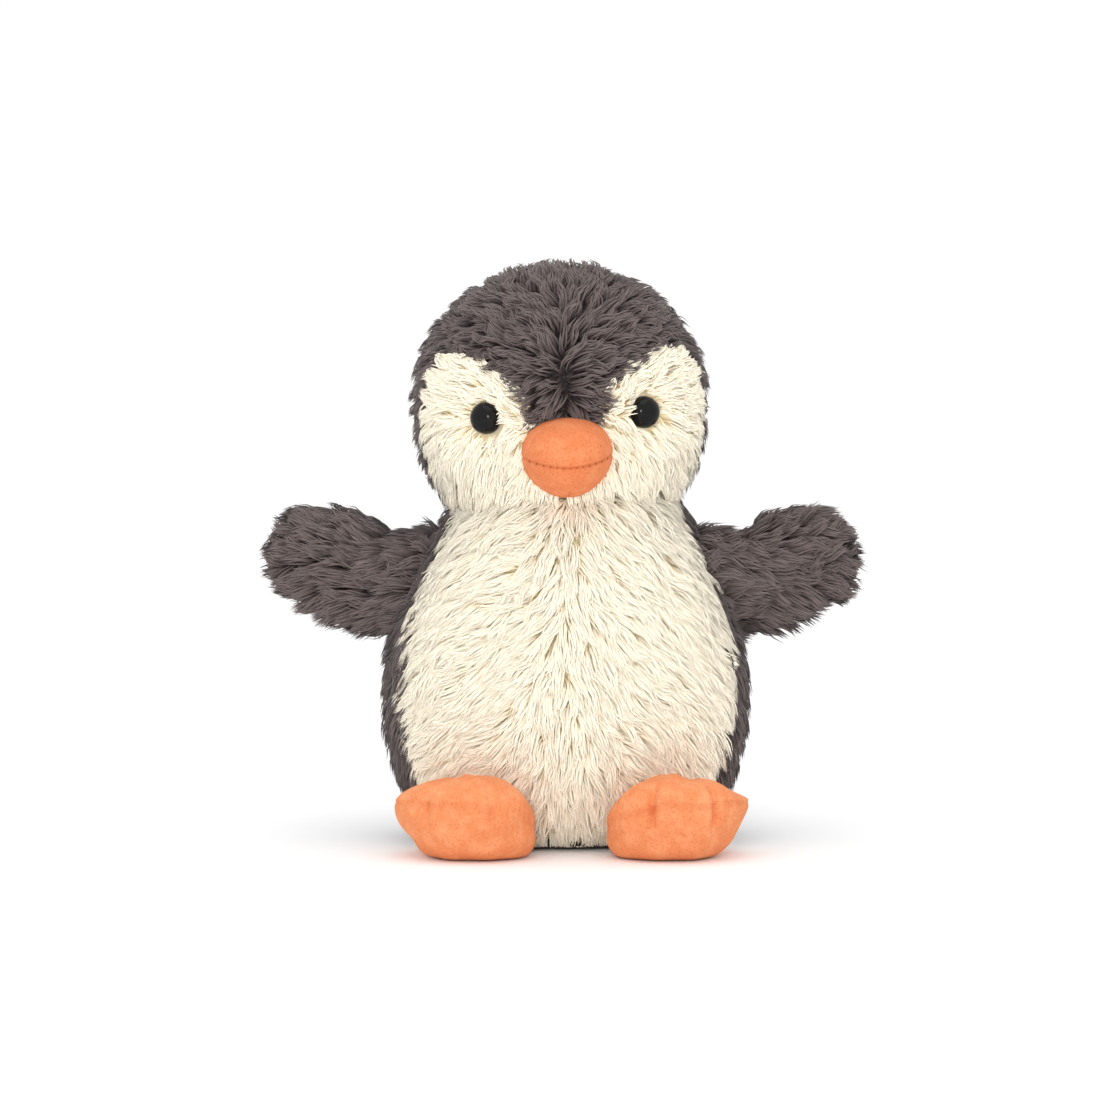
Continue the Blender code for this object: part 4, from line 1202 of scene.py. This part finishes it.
# ---------------------------------------------------------------- wings
@dataclass
class Wing:
    """A flat stuffed wing covered in long pile, broad where it is sewn to the side."""

    side: Side
    rise: float = math.radians(12)
    ball: float = 0.012
    tip: float = 0.061
    round_from: float = 0.042
    half_height: float = 0.0215
    narrowing: float = 0.085
    half_thick: float = 0.010
    cloth_depth: float = 0.004
    root: float = -0.004
    deep: float = -0.013
    end_cuts: tuple[float, float] = (0.0042, 0.0075)
    dip: float = 0.0045
    corner: float = 0.30
    bare_from: float = -0.007   # deeper than this the root carries no pile
    cut: PileCut = PileCut(length=0.0118, stand=0.0056, droop=0.0020, cell=0.00092,
                           width=0.00052, tuft=0.0036, gather=0.50, stray=0.30, roundness=0.9)

    @property
    def shoulder(self) -> Array:
        """The middle of the wing's root, on the right side for this wing."""
        return middle_of(f"wing_thread_{self.side.label}")

    @property
    def outward(self) -> Array:
        """The wing's own direction, from its root to its tip."""
        return np.array([self.side.value * math.cos(self.rise), 0, math.sin(self.rise)])

    def end(self, inset: float) -> float:
        """Where the cloth ends below the pile that passes its tip."""
        return self.tip - inset - self.side.pick(self.end_cuts)

    def surface(self, turn: Array, along: Array, inset: float) -> Array:
        """An oval section along the wing: wide at the seam, a blade, then a round end."""
        past = np.clip((along - self.round_from) / (self.end(inset) - self.round_from), 0, 1)
        into = np.clip((self.root - along) / (self.root - self.deep), 0, 0.995)
        end = np.sqrt(1 - past**2) * np.sqrt(1 - into**2)
        flare = smooth(along, 0.018, self.root)
        narrowed = self.narrowing * np.clip(along - 0.022, 0, None)
        height = (self.half_height - narrowed - inset) * end
        thick = (self.half_thick - inset) * end + 0.003 * flare
        across = thick[:, None] * np.sin(turn)
        waist = self.dip * np.exp(-(((along - 0.012) / 0.010) ** 2))
        lifted = self.corner * smooth(along, 0.016, 0.050)
        upward = height[:, None] * np.cos(turn) - waist[:, None] * np.clip(np.cos(turn), 0, 1)
        upward += (height * lifted)[:, None] * np.clip(-np.cos(turn), 0, 1)
        c, s = math.cos(self.rise), math.sin(self.rise)
        x = along[:, None] * c - upward * s
        z = along[:, None] * s + upward * c
        return self.shoulder + np.stack([self.side.value * x, across, z], axis=-1)

    def panel(self, first: float) -> Patch:
        """The cloth of the front (first = pi) or back (first = 0) half of the wing."""
        reach = self.end(self.cloth_depth) - self.round_from
        arc = np.sin(np.linspace(0, np.pi / 2, 20))[1:]
        inner = self.root - (self.root - self.deep) * arc[::-1]
        blade = np.linspace(self.root, self.round_from, 28)
        along = np.concatenate([inner, blade, self.round_from + reach * arc])
        points = self.surface(first + np.linspace(0, np.pi, 36), along, self.cloth_depth)
        centre = self.shoulder + np.array([self.side.value * 0.03, 0, 0.005])
        return Patch.of(points, centre)

    def flow(self, p: Array) -> Array:
        """Brushed from the root outwards, fanning to the edges and hanging at the lower one."""
        c, s = math.cos(self.rise), math.sin(self.rise)
        q = p - self.shoulder
        along = q[:, 0] * self.side.value * c + q[:, 2] * s
        upward = q[:, 2] * c - q[:, 0] * self.side.value * s
        fan = upward / 0.022 * (0.35 + 0.5 * smooth(along, 0.035, 0.06))
        fan -= 0.45 * smooth(-upward, 0.004, 0.02)
        lift = np.array([-self.side.value * s, 0, c])
        return self.outward + lift * fan[:, None]

    def along(self, p: Array) -> Array:
        """How far out along the wing places are."""
        return (p - self.shoulder) @ self.outward

    def buried(self, p: Array) -> Array:
        """True deep in the body, where the wing's root carries no pile."""
        return self.along(p) < self.bare_from

    def lay(self, p: Array) -> tuple[Array, Array]:
        """Shorter along the cloth and standing up more at the wing's end."""
        along = self.along(p)
        tip = smooth(along, 0.038, 0.052)
        return 1 - 0.25 * tip, 1 + 0.15 * tip

    def filling(self) -> bpy.types.Object:
        """The stuffing inside the wing's cloth, closed at the root and at the end."""
        inset = self.cloth_depth + 0.0014
        reach = self.end(inset) - self.round_from
        arc = np.sin(np.linspace(0, np.pi / 2, 12))[1:]
        blade = np.linspace(self.root + 0.004, self.round_from, 20)
        along = np.append(blade, self.round_from + reach * arc)
        turn = np.linspace(0, 2 * np.pi, 48, endpoint=False)
        grid = self.surface(turn, along, inset)
        cap = np.broadcast_to(grid[:1].mean(axis=1, keepdims=True), grid[:1].shape)
        return tube_of(f"wing_filling_{self.side.label}", np.vstack([cap, grid]), FILLING)

    def build(self) -> None:
        """Cloth and pile of both faces, and the filling."""
        label = self.side.label
        stuffing = settle(self.filling(), f"wing_{label}", "stuffing", f"wing_stuffing_{label}")
        turn = np.linspace(0, 2 * np.pi, 96, endpoint=False)
        loop = self.surface(turn, np.zeros(1), self.cloth_depth + 0.0008)[0]
        stitching = thread_ring(f"wing_stitching_{label}", loop)
        settle(stitching, f"shoulder_{label}", "thread", f"wing_thread_{label}")
        for part, first, seed in (("front", np.pi, 51), ("back", 0.0, 61)):
            pile = Pile(self.cut, self.flow, self.lay, seed + self.side.value, self.buried)
            cloth = dress_panel(f"wing_{part}_{label}", f"wing_{label}", GREY, self.panel(first), pile)


# ---------------------------------------------------------------- feet
@dataclass
class Foot:
    """A plump three-toed foot of short plush, seamed round its edge and pinched at two notches."""

    side: Side
    middle_y: float = -0.056
    splay: float = math.radians(25)
    half_width: float = 0.0275
    half_length: float = 0.025
    heel_z: float = 0.006
    toe_z: float = 0.0225
    top: float = 0.0150
    sole: float = 0.0230
    notches: tuple[float, float] = (math.radians(135), math.radians(80))
    notch_width: float = math.radians(4)
    notch_depths: tuple[float, float] = (0.0010, 0.0022)
    lump: float = 0.0007
    pucker: float = 0.00010
    middle_xs: tuple[float, float] = (0.038, 0.042)
    softness: float = 0.0016    # how gently the sole flattens on the floor

    def surface(self, turn: Array, reach: Array, upper: bool) -> Array:
        """Top or sole: the seam climbs from heel to toe, and each side bulges away from it.

        Both bulges follow a quarter of an ellipse, drawn out towards a blunt point at the
        outer end, and the sole is flattened on the floor.
        """
        turn, reach = np.broadcast_arrays(turn, reach)
        outward = self.half_width * reach * np.cos(turn)
        forward = self.half_length * reach * np.sin(turn)
        along = np.clip((forward + self.half_length) / (2 * self.half_length), 0, 1)
        across = outward / self.half_width
        seam = self.heel_z + (self.toe_z - self.heel_z) * along
        seam = seam + 0.002 * across**2 + 0.001 * across
        seam = seam + 0.0005 * np.sin(3 * turn + 0.7) + 0.0004 * np.sin(7 * turn)
        drawn = 0.52 * np.clip(np.cos(turn), 0, 1) ** 1.5
        if upper:
            rounded = np.sqrt(np.clip(1 - reach**2, 0, 1))
            arch = np.sin(np.pi / 2 * np.minimum(along / 0.52, 1))
            bulge = self.top * arch * (1 - 0.32 * across)
        else:
            rounded = np.clip(1 - reach**2.2, 0, 1) ** 0.5
            bulge = np.full(reach.shape, -self.sole)
        height = seam + bulge * (rounded + (1 - reach**2 - rounded) * drawn)
        height = self.softness * np.logaddexp(0, height / self.softness)
        return np.stack([outward, forward, height], axis=-1)

    def creases(self, turn: Array, both: Array, upper: Array) -> Array:
        """Depth from 0 to 1 of the two toe creases, long over the top and short below."""
        start = np.where(upper, 0.72, 0.93)
        groove = sum(np.exp(-(((turn - a) / self.notch_width) ** 2)) for a in self.notches)
        return groove * smooth(both, start, 0.98)

    def placed(self, grid: Array) -> Array:
        """The foot's own grid set under the belly with its toes turned out."""
        outward, forward, height = np.moveaxis(grid, -1, 0)
        c, s = math.cos(self.splay), math.sin(self.splay)
        x = self.side.pick(self.middle_xs) + outward * c + forward * s
        y = AXIS_Y + self.middle_y + outward * s - forward * c
        return self.side.mirror(np.stack([x, y, height], axis=-1))

    def build(self) -> None:
        """The cover: sole from its middle out to the seam, then the top back in."""
        label = self.side.label
        turn = np.linspace(0, 2 * np.pi, 288, endpoint=False)
        reach = np.sin(np.linspace(0, np.pi / 2, 72))[:, None]
        sole, top = self.surface(turn, reach, False), self.surface(turn, reach[:-1], True)
        grid = np.vstack([sole, top[::-1]])
        both = np.broadcast_to(np.append(reach[:, 0], reach[-2::-1, 0])[:, None], grid.shape[:2])
        upper = np.arange(len(grid))[:, None] >= len(reach)
        seam = np.exp(-(((1 - both) / 0.004) ** 2))
        crease = self.creases(turn, both, upper)
        rng = np.random.default_rng(81 + self.side.value)
        lumps = waves(grid, 0.016, rng) * smooth(grid[..., 2], 0.001, 0.008)
        by_edge = np.exp(-(((1 - both) / 0.09) ** 2))
        gathers = np.sin(turn * 47 + 3 * waves(grid, 0.02, rng)) * by_edge
        normals = Patch.of(grid, np.array([0, 0, 0.01])).normals
        depth = self.side.pick(self.notch_depths)
        sunk = 0.0004 * seam + depth * crease - self.lump * lumps - self.pucker * gathers
        grid = grid - normals * sunk[..., None]
        grid[..., 2] = np.maximum(grid[..., 2], 0.0002)
        # Painted shade for the nap: along the seam's groove and in the toe creases, in step with their
        # depth and patchy along them, with darker stitch points at the notches.
        stitch = sum(np.exp(-(((turn - notch) / 0.045) ** 2 + ((1 - both) / 0.012) ** 2))
                     for notch in self.notches)
        patchy = 0.6 + 0.4 * np.clip(waves(grid, 0.009, rng), -1, 1)
        seam_and_crease_shade = np.clip(0.3 * seam * patchy + 100 * depth * crease * patchy + 0.25 * stitch, 0, 1)
        cover = tube_of(f"foot_{label}_cover", self.placed(grid), FOOT_NAP, seam=seam_and_crease_shade)
        settle(cover, f"foot_{label}", "orange_plush", f"foot_top_{label}", f"foot_sole_{label}")


# ---------------------------------------------------------------- what stays inside
def dress_inner_parts() -> None:
    """Give the parts inside the covers their finishes."""
    finishes = {"stuffing": FILLING, "washer": EYE_GLOSS, "pouch": FILLING, "pellet": FILLING,
                "thread": THREAD}
    for name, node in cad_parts.items():
        for word, finish in finishes.items():
            if word in name:
                for slot in node.material_slots:
                    slot.material = finish.material()


# ---------------------------------------------------------------- studio
@dataclass(frozen=True)
class Studio:
    """Camera, soft lights and a pale floor."""

    distance: float = 2.4
    elevation: float = math.radians(4.8)
    view_width: float = 0.430
    sensor: float = 36.0        # millimetres
    aim: tuple[float, float, float] = (-0.0023, 0.0, 0.1088)
    sky: float = 1.06

    def build(self) -> None:
        """Everything around the toy."""
        scene = bpy.context.scene
        scene.view_settings.view_transform = "Standard"
        data = bpy.data.cameras.new("camera")
        data.sensor_width = self.sensor
        data.lens = self.sensor * self.distance / self.view_width
        camera = bpy.data.objects.new("camera", data)
        aim = Vector(self.aim)
        towards = Vector((0, -math.cos(self.elevation), math.sin(self.elevation)))
        camera.location = aim + self.distance * towards
        camera.rotation_euler = (aim - camera.location).to_track_quat("-Z", "Y").to_euler()
        scene.collection.objects.link(camera)
        scene.camera = camera
        self.light("key", (-0.15, -1.7, 0.45), 0.45, 7.0)
        self.light("top", (0.0, -0.3, 1.4), 1.2, 3.0)
        world = bpy.data.worlds.new("studio_world")
        world.use_nodes = True
        background = world.node_tree.nodes["Background"].inputs
        background["Color"].default_value = (1.0, 1.0, 1.0, 1.0)
        background["Strength"].default_value = self.sky
        scene.world = world
        self.floor()

    def light(self, name: str, place: tuple[float, float, float], size: float, power: float) -> None:
        """A round soft light that faces the toy."""
        data = bpy.data.lights.new(name, "AREA")
        data.shape, data.size, data.energy = "DISK", size, power
        lamp = bpy.data.objects.new(name, data)
        lamp.location = place
        facing = Vector((0, 0, 0.1)) - lamp.location
        lamp.rotation_euler = facing.to_track_quat("-Z", "Y").to_euler()
        bpy.context.scene.collection.objects.link(lamp)

    def floor(self) -> None:
        """A flat pale floor."""
        u = np.linspace(-30, 30, 3)
        x, y = np.meshgrid(u, u)
        points = np.stack([x, y, np.full(x.shape, -0.0002)], axis=-1)
        floor = make_mesh("floor", points.reshape(-1, 3), grid_quads(3, 3, wrap=False))
        white = SimpleFinish("floor_white", (0.95, 0.95, 0.95), (0.96, 0.96, 0.96), 3.0, 0.8)
        floor.data.materials.append(white.material())


def main() -> None:
    """Build the toy and the studio."""
    logging.basicConfig(level=logging.INFO, format="%(message)s")
    Studio().build()
    head = Head()
    beak = Beak(head)
    Torso().build()
    head.build(beak)
    beak.build()
    for side in Side:
        Wing(side).build()
        Foot(side).build()
    dress_inner_parts()


if __name__ == "__main__":
    main()
